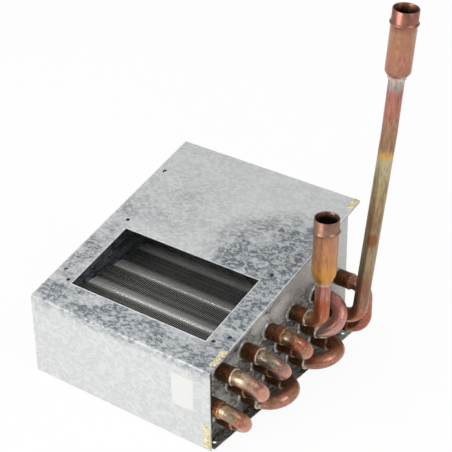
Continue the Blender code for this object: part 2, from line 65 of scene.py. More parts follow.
NOISE_SPAN = (0.3, 0.7)  # levels that a noise texture mostly stays between


def linear(code: str) -> Colour:
    """Turns an sRGB hex colour into a linear one.

    Args:
        code: The colour as #rrggbb.

    Returns:
        Red, green, blue and an alpha of one.
    """
    channels = [int(code[start:start + 2], 16) / 255 for start in (1, 3, 5)]
    return (*[c / 12.92 if c <= 0.04045 else ((c + 0.055) / 1.055) ** 2.4 for c in channels], 1.0)


def add_node(
    tree: NodeTree,
    kind: str,
    settings: dict[str, Any] | None = None,
    inputs: dict[str | int, Any] | None = None,
    stops: Sequence[tuple[float, str]] = (),
) -> Node:
    """Adds a node with its settings, its input values or links, and its colour stops.

    Args:
        tree: The node tree that gets the node.
        kind: The node's type name, without its ShaderNode prefix.
        settings: Properties of the node.
        inputs: A value, or the output socket to link from, for each named or numbered input.
        stops: Position and hex colour of each stop, for a colour ramp.

    Returns:
        The new node.
    """
    node = tree.nodes.new("ShaderNode" + kind)
    for key, value in (settings or {}).items():
        setattr(node, key, value)
    for key, value in (inputs or {}).items():
        if isinstance(value, NodeSocket):
            tree.links.new(value, node.inputs[key])
        else:
            node.inputs[key].default_value = value
    for index, (position, code) in enumerate(stops):
        elements = node.color_ramp.elements
        element = elements[index] if index < 2 else elements.new(1.0)
        element.position = position
        element.color = linear(code)
    return node


def start_material(name: str) -> tuple[Material, NodeTree, Node]:
    """Makes a material with an empty tree but for its output and shader.

    Args:
        name: The material's name.

    Returns:
        The material, its tree and its Principled shader.
    """
    material = bpy.data.materials.new(name)
    material.use_nodes = True
    tree = material.node_tree
    return material, tree, tree.nodes["Principled BSDF"]


def deselect() -> None:
    """Deselects every object."""
    bpy.ops.object.select_all(action="DESELECT")


def activate(obj: Object) -> None:
    """Selects one object alone and makes it active.

    Args:
        obj: The object.
    """
    deselect()
    obj.select_set(True)
    bpy.context.view_layer.objects.active = obj


def name_piece(obj: Object, name: str) -> Object:
    """Names an object and its mesh.

    Args:
        obj: The object.
        name: The name that both get.

    Returns:
        The object.
    """
    obj.name = name
    obj.data.name = name
    return obj


def apply_modifiers(obj: Object) -> None:
    """Applies every modifier of an object, in order.

    Args:
        obj: The object.
    """
    activate(obj)
    for modifier in list(obj.modifiers):
        bpy.ops.object.modifier_apply(modifier=modifier.name)


def settle(obj: Object, matrix: Matrix | None = None) -> Object:
    """Moves an object by a matrix and puts its place into its mesh.

    Args:
        obj: The object.
        matrix: The move, or None where the object stays.

    Returns:
        The object, at the origin, unturned and unscaled.
    """
    activate(obj)
    if matrix is not None:
        obj.matrix_world = matrix @ obj.matrix_world
    bpy.ops.object.transform_apply(location=True, rotation=True, scale=True)
    return obj


def join(objects: Sequence[Object], name: str) -> Object:
    """Joins objects into the first of them.

    Args:
        objects: The objects.
        name: The joined object's name.

    Returns:
        The joined object.
    """
    activate(objects[0])
    for obj in objects:
        obj.select_set(True)
    bpy.ops.object.join()
    return name_piece(objects[0], name)


def shade(obj: Object, angle: float = 40.0) -> None:
    """Shades an object smooth up to an edge angle in degrees."""
    activate(obj)
    bpy.ops.object.shade_smooth_by_angle(angle=math.radians(angle))


def fit(obj: Object, material: Material, nodes: Sequence[str] = ()) -> None:
    """Dresses a finished piece, rides it on the body and lets it stand for its nodes.

    Args:
        obj: The finished piece.
        material: Its finish.
        nodes: The CAD nodes that it stands for.
    """
    obj.data.materials.clear()
    obj.data.materials.append(material)
    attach(obj, BODY)
    if nodes:
        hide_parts(*nodes)
    LOG.info("%s: %d faces", obj.name, len(obj.data.polygons))


def draw_out(stations: Sequence[Station], centre: Vector, along: Vector) -> None:
    """Extrudes the selected ring through stations.

    Args:
        stations: Radius of each ring and its place along the axis, the selected ring's first.
        centre: The axis's point at place zero.
        along: Direction of the axis, which is one of the world's.
    """
    for (radius, place), (new_radius, new_place) in zip(stations, stations[1:]):
        step = along * (new_place - place)
        bpy.ops.mesh.extrude_region_move(TRANSFORM_OT_translate={"value": step})
        scale = [1.0 if part else new_radius / radius for part in along]
        bpy.ops.transform.resize(value=scale, center_override=centre + along * new_place)


def close_mesh() -> None:
    """Merges double vertices, closes open ends, turns the normals outwards and leaves edit mode."""
    bpy.ops.mesh.select_all(action="SELECT")
    bpy.ops.mesh.remove_doubles(threshold=WELD)
    bpy.ops.mesh.fill_holes(sides=0)
    bpy.ops.mesh.normals_make_consistent(inside=False)
    bpy.ops.object.mode_set(mode="OBJECT")


def turned(name: str, stations: Sequence[Station], sides: int) -> Object:
    """Draws a ring along Z through stations and back to the first one, as on a lathe.

    Args:
        name: The new object's name.
        stations: Radius and height of each ring, in order.
        sides: Vertices of each ring.

    Returns:
        The turned object, still on the world's Z axis.
    """
    deselect()
    radius, height = stations[0]
    bpy.ops.mesh.primitive_circle_add(
        vertices=sides, radius=radius, fill_type="NOTHING", location=(0.0, 0.0, height)
    )
    obj = name_piece(bpy.context.object, name)
    bpy.ops.object.mode_set(mode="EDIT")
    bpy.ops.mesh.select_all(action="SELECT")
    draw_out([*stations, stations[0]], Vector(), Vector((0.0, 0.0, 1.0)))
    close_mesh()
    return obj


def turned_at(name: str, stations: Sequence[Station], sides: int, places: Sequence[Matrix]) -> Object:
    """Turns a ring once and puts a copy of it at each of some places.

    Args:
        name: The new object's name.
        stations: Radius and height of each ring, in order.
        sides: Vertices of each ring.
        places: Where each copy goes from the world's Z axis.

    Returns:
        The copies, joined.
    """
    ring = settle(turned(name, stations, sides))
    copies = []
    for place in places:
        copy = ring.copy()
        copy.data = ring.data.copy()
        bpy.context.collection.objects.link(copy)
        copies.append(settle(copy, place))
    bpy.data.objects.remove(ring, do_unlink=True)
    return join(copies, name)


def add_box(name: str, low: Sequence[float], high: Sequence[float]) -> Object:
    """Models a box.

    Args:
        name: The new object's name.
        low: Its lowest corner.
        high: Its highest corner.

    Returns:
        The box, settled.
    """
    deselect()
    bpy.ops.mesh.primitive_cube_add(size=1.0, location=(Vector(low) + Vector(high)) / 2)
    bpy.ops.transform.resize(value=Vector(high) - Vector(low))
    return settle(name_piece(bpy.context.object, name))


class Row(Enum):
    """Rows of tube runs, by their height."""

    LOWER = 0
    MIDDLE = 1
    TOP = 2


@dataclass(frozen=True)
class Layout:
    """Sizes that the pieces share, as the CAD model has them."""

    case_width: float = 218.0 * MM
    case_depth: float = 244.4 * MM
    front_height: float = 89.6 * MM
    slope: float = math.radians(14.8)
    sheet: float = 1.0 * MM
    front_y: float = -7.25 * MM
    plate_x: float = 95.9 * MM
    lip_x: float = 114.2 * MM
    first_column: float = 10.0752 * MM
    column_pitch: float = 19.66 * MM
    row_pitch: float = 25.6 * MM
    lowest_row: float = 19.7 * MM
    tube_radius: float = 6.5 * MM
    bend_radius: float = 7.5 * MM
    cup_depth: float = 7.0 * MM
    cup_gap: float = 0.5 * MM  # between a cup's bottom and the tube in it

    def run(self, tube: str) -> Vector:
        """Finds the point on a tube run's axis at the middle of the case.

        Args:
            tube: The run's row letter and its number from the front.

        Returns:
            The point.
        """
        row = {"L": Row.LOWER, "M": Row.MIDDLE, "T": Row.TOP}[tube[0]]
        column = 2 * (int(tube[1]) - 1) + (0 if row is Row.MIDDLE else 1)
        y = self.front_y + self.first_column + column * self.column_pitch
        return Vector((0.0, y, self.lowest_row + row.value * self.row_pitch))

    def runs(self) -> list[str]:
        """Lists the eighteen tube runs' names."""
        return [row + str(number) for row in "TML" for number in range(1, 7)]

    def on_top(self, x: float, distance: float) -> Vector:
        """Finds a point on the sloping top.

        Args:
            x: Its place across the case.
            distance: Its distance from the front edge, along the slope.

        Returns:
            The point.
        """
        y = self.front_y + distance * math.cos(self.slope)
        return Vector((x, y, self.front_height + distance * math.sin(self.slope)))


LAYOUT = Layout()


@dataclass(frozen=True)
class Stain:
    """A soft-edged blot on a finish, in mm: its middle and half sizes."""

    middle: Triple
    reach: Triple
    strength: float

    def share(self, tree: NodeTree, place: NodeSocket, others: NodeSocket | float) -> NodeSocket:
        """Adds the stain's share at each point to the share of other stains.

        Args:
            tree: The material's node tree.
            place: The object's coordinates, in metres.
            others: The share of the stains before it.

        Returns:
            The sum.
        """
        near = add_node(
            tree, "Mapping", None,
            {
                "Vector": place,
                "Location": tuple(-middle / reach for middle, reach in zip(self.middle, self.reach)),
                "Scale": tuple(1.0 / (reach * MM) for reach in self.reach),
            },
        )
        ball = add_node(tree, "TexGradient", {"gradient_type": "SPHERICAL"}, {"Vector": near.outputs[0]})
        total = add_node(
            tree, "Math", {"operation": "MULTIPLY_ADD"},
            {0: ball.outputs["Fac"], 1: self.strength, 2: others},
        )
        return total.outputs[0]


@dataclass(frozen=True)
class GalvanisedSteel:
    """Hot-dip galvanised sheet: a dull zinc skin of fine interlocked crystals, bluer where it dulled.

    The crystals are 2 to 4 mm across and drawn out a little along the rolling direction, so they show
    as a fine mottle. It is faint on clean zinc and strong in the stains.
    """

    name: str
    pale: str
    dark: str
    stains: tuple[Stain, ...] = ()
    spangle: float = 2.0 * MM
    stretch: Triple = (0.5, 1.0, 0.7)
    faint: float = 0.27  # strength of the stain that lies all over
    blooms: tuple[Stain, ...] = ()  # white flux residue
    bloom: str = "#f0f0ee"
    cloud: float = 16.0 * MM  # size of the stains' ragged lobes
    lobe_edge: Span = (0.36, 0.6)  # noise levels between which a stain thickens
    lobe_share: Span = (0.3, 1.3)  # and how thick it is there
    fineness: float = 0.68  # share of fine noise in the mottle; the rest is crystals
    flake_edge: Span = (0.6, 0.42)  # tones between which a flake turns dark
    flake_share: float = 0.6  # share of a stain that shows in its flakes alone
    froth_edge: Span = (0.36, 0.54)  # noise levels between which residue thickens
    froth_least: float = 0.1
    roughness: Span = (0.36, 0.52)  # it differs from crystal to crystal
    relief: float = 0.06
    relief_height: float = 0.1 * MM
    metallic: float = 0.45

    def make(self) -> Material:
        """Makes the material.

        Returns:
            The material.
        """
        material, tree, shader = start_material(self.name)
        place = add_node(tree, "TexCoord").outputs["Object"]
        rolled = add_node(tree, "Mapping", None, {"Vector": place, "Scale": self.stretch}).outputs[0]
        crystal = add_node(tree, "TexVoronoi", None, {"Vector": rolled, "Scale": 1.0 / self.spangle})
        grain = add_node(
            tree, "TexNoise", None,
            {"Vector": rolled, "Scale": 2.0 / self.spangle, "Detail": 4.0, "Roughness": 0.65},
        )
        tone = add_node(
            tree, "Mix", {"data_type": "FLOAT"},
            {0: self.fineness, 2: crystal.outputs["Color"], 3: grain.outputs["Fac"]},
        )
        speckle = add_node(
            tree, "MapRange", {"interpolation_type": "SMOOTHSTEP"},
            {"Value": tone.outputs[0], "From Min": self.flake_edge[0], "From Max": self.flake_edge[1]},
        )
        stained: NodeSocket | float = 0.0
        for stain in self.stains:
            stained = stain.share(tree, place, stained)
        lobes = add_node(
            tree, "TexNoise", None,
            {"Vector": rolled, "Scale": 1.0 / self.cloud, "Detail": 4.0, "Roughness": 0.6},
        )
        ragged = add_node(
            tree, "MapRange", None,
            {
                "Value": lobes.outputs["Fac"], "From Min": self.lobe_edge[0], "From Max": self.lobe_edge[1],
                "To Min": self.lobe_share[0], "To Max": self.lobe_share[1],
            },
        )
        stained = add_node(
            tree, "Math", {"operation": "MULTIPLY_ADD", "use_clamp": True},
            {0: stained, 1: ragged.outputs[0], 2: self.faint},
        ).outputs[0]
        weight = add_node(
            tree, "Math", {"operation": "MULTIPLY_ADD"},
            {0: speckle.outputs[0], 1: self.flake_share, 2: 1.0 - self.flake_share},
        )
        darkness = add_node(tree, "Math", {"operation": "MULTIPLY"}, {0: stained, 1: weight.outputs[0]})
        skin = add_node(
            tree, "Mix", {"data_type": "RGBA"},
            {0: darkness.outputs[0], 6: linear(self.pale), 7: linear(self.dark)},
        )
        residue: NodeSocket | float = 0.0
        for bloom in self.blooms:
            residue = bloom.share(tree, place, residue)
        if self.blooms:
            froth = add_node(
                tree, "MapRange", None,
                {
                    "Value": grain.outputs["Fac"], "From Min": self.froth_edge[0],
                    "From Max": self.froth_edge[1], "To Min": self.froth_least,
                },
            )
            frothy = add_node(
                tree, "Math", {"operation": "MULTIPLY", "use_clamp": True}, {0: residue, 1: froth.outputs[0]}
            )
            skin = add_node(
                tree, "Mix", {"data_type": "RGBA"},
                {0: frothy.outputs[0], 6: skin.outputs[2], 7: linear(self.bloom)},
            )
        tree.links.new(skin.outputs[2], shader.inputs["Base Color"])
        rough = add_node(
            tree, "MapRange", None,
            {
                "Value": crystal.outputs["Color"], "To Min": self.roughness[0],
                "To Max": self.roughness[1],
            },
        )
        tree.links.new(rough.outputs["Result"], shader.inputs["Roughness"])
        bump = add_node(
            tree, "Bump", None,
            {"Height": grain.outputs["Fac"], "Strength": self.relief, "Distance": self.relief_height},
        )
        tree.links.new(bump.outputs["Normal"], shader.inputs["Normal"])
        shader.inputs["Metallic"].default_value = self.metallic
        return material


@dataclass(frozen=True)
class TintedCopper:
    """Half-hard copper tube as the brazing torch leaves it.

    Oxide films go from pink through orange to olive and grey-brown with the heat they saw, so the
    tint runs along the tube, breaks up into flecks and is scorched in spots. Its pale pink spots are painted
    glints.
    """

    name: str
    stops: Stops  # distance along the tube in mm, and tint
    patina: str = "#8a6a4a"  # second tint, in patches
    patches: float = 0.5  # largest share of the second tint
    fleck: str = "#4c2a20"
    flecks: float = 0.55
    # pale spots painted as glints
    gloss: str = "#ecd0bf"
    spots: tuple[Stain, ...] = ()
    scorch: str = "#8c5c3e"  # colour of the spots
    grain: float = 2.4 * MM
    stretch: Triple = (1.0, 1.0, 1.0)
    wander: float = 3.5  # how far a tint's edge wanders, in mm
    blotches: float = 2.4  # size of the patches, in grains
    patch_edge: Span = (0.5, 0.6)  # noise levels between which a patch, a fleck or a painted glint goes from none to full
    fleck_edge: Span = (0.53, 0.66)  # or a glossy spot goes from none to full
    gloss_edge: Span = (0.44, 0.33)
    gloss_share: float = 0.6  # of the flecks' share
    roughness: Span = (0.27, 0.44)  # it differs from patch to patch
    relief: float = 0.15
    relief_height: float = 0.2 * MM
    metallic: float = 0.78

    def make(self) -> Material:
        """Makes the material.

        Returns:
            The material, for a piece with the "along" attribute.
        """
        material, tree, shader = start_material(self.name)
        whole = add_node(tree, "TexCoord").outputs["Object"]
        place = add_node(tree, "Mapping", None, {"Vector": whole, "Scale": self.stretch}).outputs[0]
        along = add_node(tree, "Attribute", {"attribute_name": "along"}).outputs["Fac"]
        length = self.stops[-1][0]
        blotch = add_node(
            tree, "TexNoise", None,
            {"Vector": place, "Scale": 1.0 / (self.blotches * self.grain), "Detail": 3.0, "Roughness": 0.6},
        )
        drift = add_node(
            tree, "MapRange", None,
            {
                "Value": blotch.outputs["Fac"], "From Min": NOISE_SPAN[0], "From Max": NOISE_SPAN[1],
                "To Min": -self.wander / length, "To Max": self.wander / length,
            },
        )
        at = add_node(
            tree, "Math", {"operation": "MULTIPLY_ADD"},
            {0: along, 1: 1.0 / (length * MM), 2: drift.outputs["Result"]},
        )
        tint = add_node(
            tree, "ValToRGB", None, {"Fac": at.outputs[0]},
            stops=[(position / length, code) for position, code in self.stops],
        )
        fine = add_node(
            tree, "TexNoise", None,
            {"Vector": place, "Scale": 1.0 / self.grain, "Detail": 5.0, "Roughness": 0.7},
        )
        skin = tint.outputs["Color"]
        # Mixes in patina patches, dark flecks and pale spots that are painted glints.
        for noise, (start, end), share, code in (
            (blotch, self.patch_edge, self.patches, self.patina),
            (fine, self.fleck_edge, self.flecks, self.fleck),
            (fine, self.gloss_edge, self.gloss_share * self.flecks, self.gloss),
        ):
            where = add_node(
                tree, "MapRange", None,
                {"Value": noise.outputs["Fac"], "From Min": start, "From Max": end, "To Max": share},
            )
            skin = add_node(
                tree, "Mix", {"data_type": "RGBA"}, {0: where.outputs["Result"], 6: skin, 7: linear(code)}
            ).outputs[2]
        for spot in self.spots:
            skin = add_node(
                tree, "Mix", {"data_type": "RGBA"},
                {0: spot.share(tree, whole, 0.0), 6: skin, 7: linear(self.scorch)},
            ).outputs[2]
        tree.links.new(skin, shader.inputs["Base Color"])
        rough = add_node(
            tree, "MapRange", None,
            {
                "Value": blotch.outputs["Fac"], "From Min": NOISE_SPAN[0], "From Max": NOISE_SPAN[1],
                "To Min": self.roughness[0], "To Max": self.roughness[1],
            },
        )
        tree.links.new(rough.outputs["Result"], shader.inputs["Roughness"])
        bump = add_node(
            tree, "Bump", None,
            {"Height": fine.outputs["Fac"], "Strength": self.relief, "Distance": self.relief_height},
        )
        tree.links.new(bump.outputs["Normal"], shader.inputs["Normal"])
        shader.inputs["Metallic"].default_value = self.metallic
        return material


@dataclass(frozen=True)
class Speckled:
    """A finish of two or more tones that break up into each other, as braze, foam or paper has."""

    name: str
    tones: tuple[str, ...]
    grain: float = 2.0 * MM
    roughness: float = 0.4
    metallic: float = 0.0
    relief: float = 0.2
    relief_height: float = 0.3 * MM
    first: float = 0.35  # noise level of the first tone
    spread: float = 0.3  # from the first tone's level to the last one's

    def make(self) -> Material:
        """Makes the material.

        Returns:
            The material.
        """
        material, tree, shader = start_material(self.name)
        place = add_node(tree, "TexCoord").outputs["Object"]
        noise = add_node(
            tree, "TexNoise", None,
            {"Vector": place, "Scale": 1.0 / self.grain, "Detail": 3.0, "Roughness": 0.6},
        )
        step = self.spread / (len(self.tones) - 1)
        stops = [(self.first + step * index, code) for index, code in enumerate(self.tones)]
        skin = add_node(tree, "ValToRGB", None, {"Fac": noise.outputs["Fac"]}, stops)
        tree.links.new(skin.outputs["Color"], shader.inputs["Base Color"])
        bump = add_node(
            tree, "Bump", None,
            {"Height": noise.outputs["Fac"], "Strength": self.relief, "Distance": self.relief_height},
        )
        tree.links.new(bump.outputs["Normal"], shader.inputs["Normal"])
        shader.inputs["Roughness"].default_value = self.roughness
        shader.inputs["Metallic"].default_value = self.metallic
        return material


@dataclass(frozen=True)
class FinAluminium:
    """Aluminium of the fins in painted light: upward faces bright as a painted highlight, sides near-black as
    painted shade, lighter bands round the tubes and along the ripples as painted glow.
    """

    name: str
    # The upward faces' colour is a painted highlight, the near-black is painted shade on the fins' sides, and
    # the light colour is painted glow round the tubes and painted reflection of the ripples.
    edge: str = "#dddcd8"
    dull: str = "#242423"
    light: str = "#d2d2cf"
    lightest: float = 23.2 * MM  # Y of a light band's middle, over a tube
    pitch: float = 39.32 * MM
    band_edge: Span = (0.1, 0.85)  # of the wave across the tubes, where a band starts and is full
    band_share: float = 0.9
    ripple: float = 5.0 * MM
    ripple_edge: Span = (0.45, 0.66)  # noise levels where a ripple starts and is full
    ripple_share: float = 0.36
    upright: float = 0.5  # height of the normal from which on a face is a cut edge
    roughness: float = 0.4
    metallic: float = 0.4

    def make(self) -> Material:
        """Makes the material.

        Returns:
            The material.
        """
        material, tree, shader = start_material(self.name)
        coordinates = add_node(tree, "TexCoord")
        across = add_node(tree, "SeparateXYZ", None, {0: coordinates.outputs["Object"]}).outputs["Y"]
        # Painted glow in bands over the tubes, and painted reflections of the fins' ripples along them.
        turn = 2 * math.pi / self.pitch
        phase = add_node(
            tree, "Math", {"operation": "MULTIPLY_ADD"}, {0: across, 1: turn, 2: -turn * self.lightest}
        )
        band = add_node(tree, "Math", {"operation": "COSINE"}, {0: phase.outputs[0]})
        ripples = add_node(
            tree, "TexNoise", {"noise_dimensions": "1D"},
            {"W": across, "Scale": 1.0 / self.ripple, "Detail": 4.0, "Roughness": 0.75},
        )
        glow = add_node(
            tree, "MapRange", {"interpolation_type": "SMOOTHSTEP"},
            {
                "Value": band.outputs[0], "From Min": self.band_edge[0], "From Max": self.band_edge[1],
                "To Max": self.band_share,
            },
        )
        ripple_sheen = add_node(
            tree, "MapRange", None,
            {
                "Value": ripples.outputs["Fac"], "From Min": self.ripple_edge[0],
                "From Max": self.ripple_edge[1], "To Max": self.ripple_share,
            },
        )
        share = add_node(
            tree, "Math", {"operation": "ADD", "use_clamp": True},
            {0: glow.outputs["Result"], 1: ripple_sheen.outputs["Result"]},
        )
        face = add_node(
            tree, "Mix", {"data_type": "RGBA"},
            {0: share.outputs[0], 6: linear(self.dull), 7: linear(self.light)},
        )
        # Faces that look up get the painted highlight; the sides keep the painted shade.
        upwards = add_node(tree, "SeparateXYZ", None, {0: coordinates.outputs["Normal"]}).outputs["Z"]
        cut = add_node(tree, "Math", {"operation": "GREATER_THAN"}, {0: upwards, 1: self.upright})
        skin = add_node(
            tree, "Mix", {"data_type": "RGBA"}, {0: cut.outputs[0], 6: face.outputs[2], 7: linear(self.edge)}
        )
        tree.links.new(skin.outputs[2], shader.inputs["Base Color"])
        shader.inputs["Roughness"].default_value = self.roughness
        shader.inputs["Metallic"].default_value = self.metallic
        return material


def follow(obj: Object, path: Sequence[Vector]) -> None:
    """Gives each vertex of a tube its distance along the tube's axis, as the attribute "along".

    Args:
        obj: The tube, settled.
        path: Points of its axis.
    """
    lengths = [0.0]
    for start, end in zip(path, path[1:]):
        lengths.append(lengths[-1] + (end - start).length)
    attribute = obj.data.attributes.new("along", "FLOAT", "POINT")
    for vertex, item in zip(obj.data.vertices, attribute.data):
        best = (1e9, 0.0)
        for start, end, length in zip(path, path[1:], lengths):
            side = end - start
            share = min(max((vertex.co - start).dot(side) / side.length_squared, 0.0), 1.0)
            best = min(best, ((vertex.co - start - share * side).length, length + share * side.length))
        item.value = best[1]


def swept(name: str, path: Sequence[Vector], radius: float, sides: int = 24) -> Object:
    """Draws a round tube along a path and closes its ends.

    Args:
        name: The new object's name.
        path: Points of the tube's axis.
        radius: The tube's radius.
        sides: Vertices round the tube.

    Returns:
        The tube, with its "along" attribute.
    """
    deselect()
    bpy.ops.curve.primitive_nurbs_path_add()
    obj = bpy.context.object
    curve = obj.data
    curve.splines.clear()
    curve.bevel_depth = radius
    curve.bevel_resolution = sides // 2 - 2
    curve.use_fill_caps = True
    spline = curve.splines.new("POLY")
    spline.points.add(len(path) - 1)
    for item, point in zip(spline.points, path):
        item.co = (*point, 1.0)
    bpy.ops.object.convert(target="MESH")
    obj = name_piece(bpy.context.object, name)
    bpy.ops.object.mode_set(mode="EDIT")
    close_mesh()
    follow(obj, path)
    shade(obj)
    return obj


@dataclass(frozen=True)
class Lamp:
    """A rectangular area light that looks at the object, in metres and watts."""

    name: str
    place: Triple
    width: float
    power: float
    stretch: float = 1.0  # its length, as a multiple of its width


@dataclass
class Studio:
    """Camera at the photograph's angle, soft lights, white surroundings and a pale floor."""

    camera_place: Triple = (0.7562, -0.8267, 0.8590)
    azimuth: float = math.radians(37.39)
    elevation: float = math.radians(30.58)
    roll: float = math.radians(-0.80)
    lens: float = 115.65
    sensor: float = 36.0
    nearest: float = 0.05
    farthest: float = 50.0
    lamps: tuple[Lamp, ...] = (
        Lamp("front_softbox", (-0.5, -2.0, 0.75), width=1.4, power=39.0),
        Lamp("high_left_strip", (-1.1, 0.11, 1.77), width=0.28, power=3.6, stretch=2.2),
        Lamp("right_softbox", (1.7, 0.1, 1.0), width=1.0, power=8.0),
    )
    floor_size: float = 12.0
    floor_colour: str = "#f4f4f2"
    floor_roughness: float = 0.9
    floor_white: float = 0.94  # share of plain white in what the camera sees of the floor
    low_glow: float = 0.3  # strength of the surroundings at the horizon
    high_glow: float = 0.65  # and overhead
    overhead: float = 0.75  # height of the direction from which on it counts as overhead
    target: Triple = (0.0, 0.11, 0.06)

    def add_camera(self) -> None:
        """Sets the camera at the photograph's place."""
        side = math.cos(self.elevation)
        back = Vector(
            (math.sin(self.azimuth) * side, -math.cos(self.azimuth) * side, math.sin(self.elevation))
        )
        right = (-back).cross(Vector((0.0, 0.0, 1.0))).normalized()
        up = right.cross(-back)
        turned_right = math.cos(self.roll) * right + math.sin(self.roll) * up
        turned_up = -math.sin(self.roll) * right + math.cos(self.roll) * up
        bpy.ops.object.camera_add()
        camera = bpy.context.object
        camera.name = "photo_camera"
        camera.data.lens = self.lens
        camera.data.sensor_width = self.sensor
        camera.data.clip_start = self.nearest
        camera.data.clip_end = self.farthest
        place = Matrix((turned_right, turned_up, back)).transposed().to_4x4()
        place.translation = Vector(self.camera_place)
        camera.matrix_world = place
        bpy.context.scene.camera = camera

    def add_lamp(self, lamp: Lamp) -> None:
        """Adds an area light that looks at the object.

        Args:
            lamp: Its sizes.
        """
        bpy.ops.object.light_add(type="AREA", location=lamp.place)
        light = bpy.context.object
        light.name = lamp.name
        light.data.shape = "RECTANGLE"
        light.data.size = lamp.width
        light.data.size_y = lamp.width * lamp.stretch
        light.data.energy = lamp.power
        direction = Vector(self.target) - Vector(lamp.place)
        light.rotation_euler = direction.to_track_quat("-Z", "Y").to_euler()

    def add_floor(self) -> None:
        """Adds the pale floor that the case stands on."""
        deselect()
        bpy.ops.mesh.primitive_plane_add(size=self.floor_size, location=(0.0, 0.0, 0.0))
        floor = name_piece(bpy.context.object, "floor")
        material, tree, shader = start_material("pale_floor")
        rays = add_node(tree, "LightPath")
        seen = add_node(
            tree, "Math", {"operation": "MAXIMUM"},
            {0: rays.outputs["Is Camera Ray"], 1: rays.outputs["Is Glossy Ray"]},
        )
        seen = add_node(
            tree, "Math", {"operation": "MAXIMUM"},
            {0: seen.outputs[0], 1: rays.outputs["Is Transmission Ray"]},
        )
        white = add_node(tree, "Emission", None, {"Color": (1.0, 1.0, 1.0, 1.0), "Strength": 1.0})
        share = add_node(
            tree, "Math", {"operation": "MULTIPLY"}, {0: seen.outputs[0], 1: self.floor_white}
        )
        mixed = add_node(
            tree, "MixShader", None, {0: share.outputs[0], 1: shader.outputs[0], 2: white.outputs[0]}
        )
        shader.inputs["Base Color"].default_value = linear(self.floor_colour)
        shader.inputs["Roughness"].default_value = self.floor_roughness
        tree.links.new(mixed.outputs[0], tree.nodes["Material Output"].inputs["Surface"])
        floor.data.materials.append(material)

    def add_world(self) -> None:
        """Lights the object evenly and shows white behind it."""
        world = bpy.data.worlds.new("white_surroundings")
        bpy.context.scene.world = world
        world.use_nodes = True
        tree = world.node_tree
        rays = add_node(tree, "LightPath")
        seen = add_node(
            tree, "Math", {"operation": "MAXIMUM"},
            {0: rays.outputs["Is Camera Ray"], 1: rays.outputs["Is Transmission Ray"]},
        )
        direction = add_node(tree, "TexCoord").outputs["Generated"]
        height = add_node(tree, "SeparateXYZ", None, {0: direction}).outputs["Z"]
        glow = add_node(
            tree, "MapRange", None,
            {"Value": height, "From Max": self.overhead, "To Min": self.low_glow, "To Max": self.high_glow},
        )
        strength = add_node(
            tree, "Mix", {"data_type": "FLOAT"}, {0: seen.outputs[0], 2: glow.outputs["Result"], 3: 1.0}
        )
        background = tree.nodes["Background"]
        background.inputs["Color"].default_value = (1.0, 1.0, 1.0, 1.0)
        tree.links.new(strength.outputs[0], background.inputs["Strength"])

    def build(self) -> None:
        """Sets up the view transform, camera, lights, surroundings and floor."""
        bpy.context.scene.view_settings.view_transform = "Standard"
        self.add_camera()
        for lamp in self.lamps:
            self.add_lamp(lamp)
        self.add_world()
        self.add_floor()


def in_metres(stations: Sequence[Station]) -> list[Station]:
    """Turns stations that are given in millimetres into metres."""
    return [(radius * MM, height * MM) for radius, height in stations]


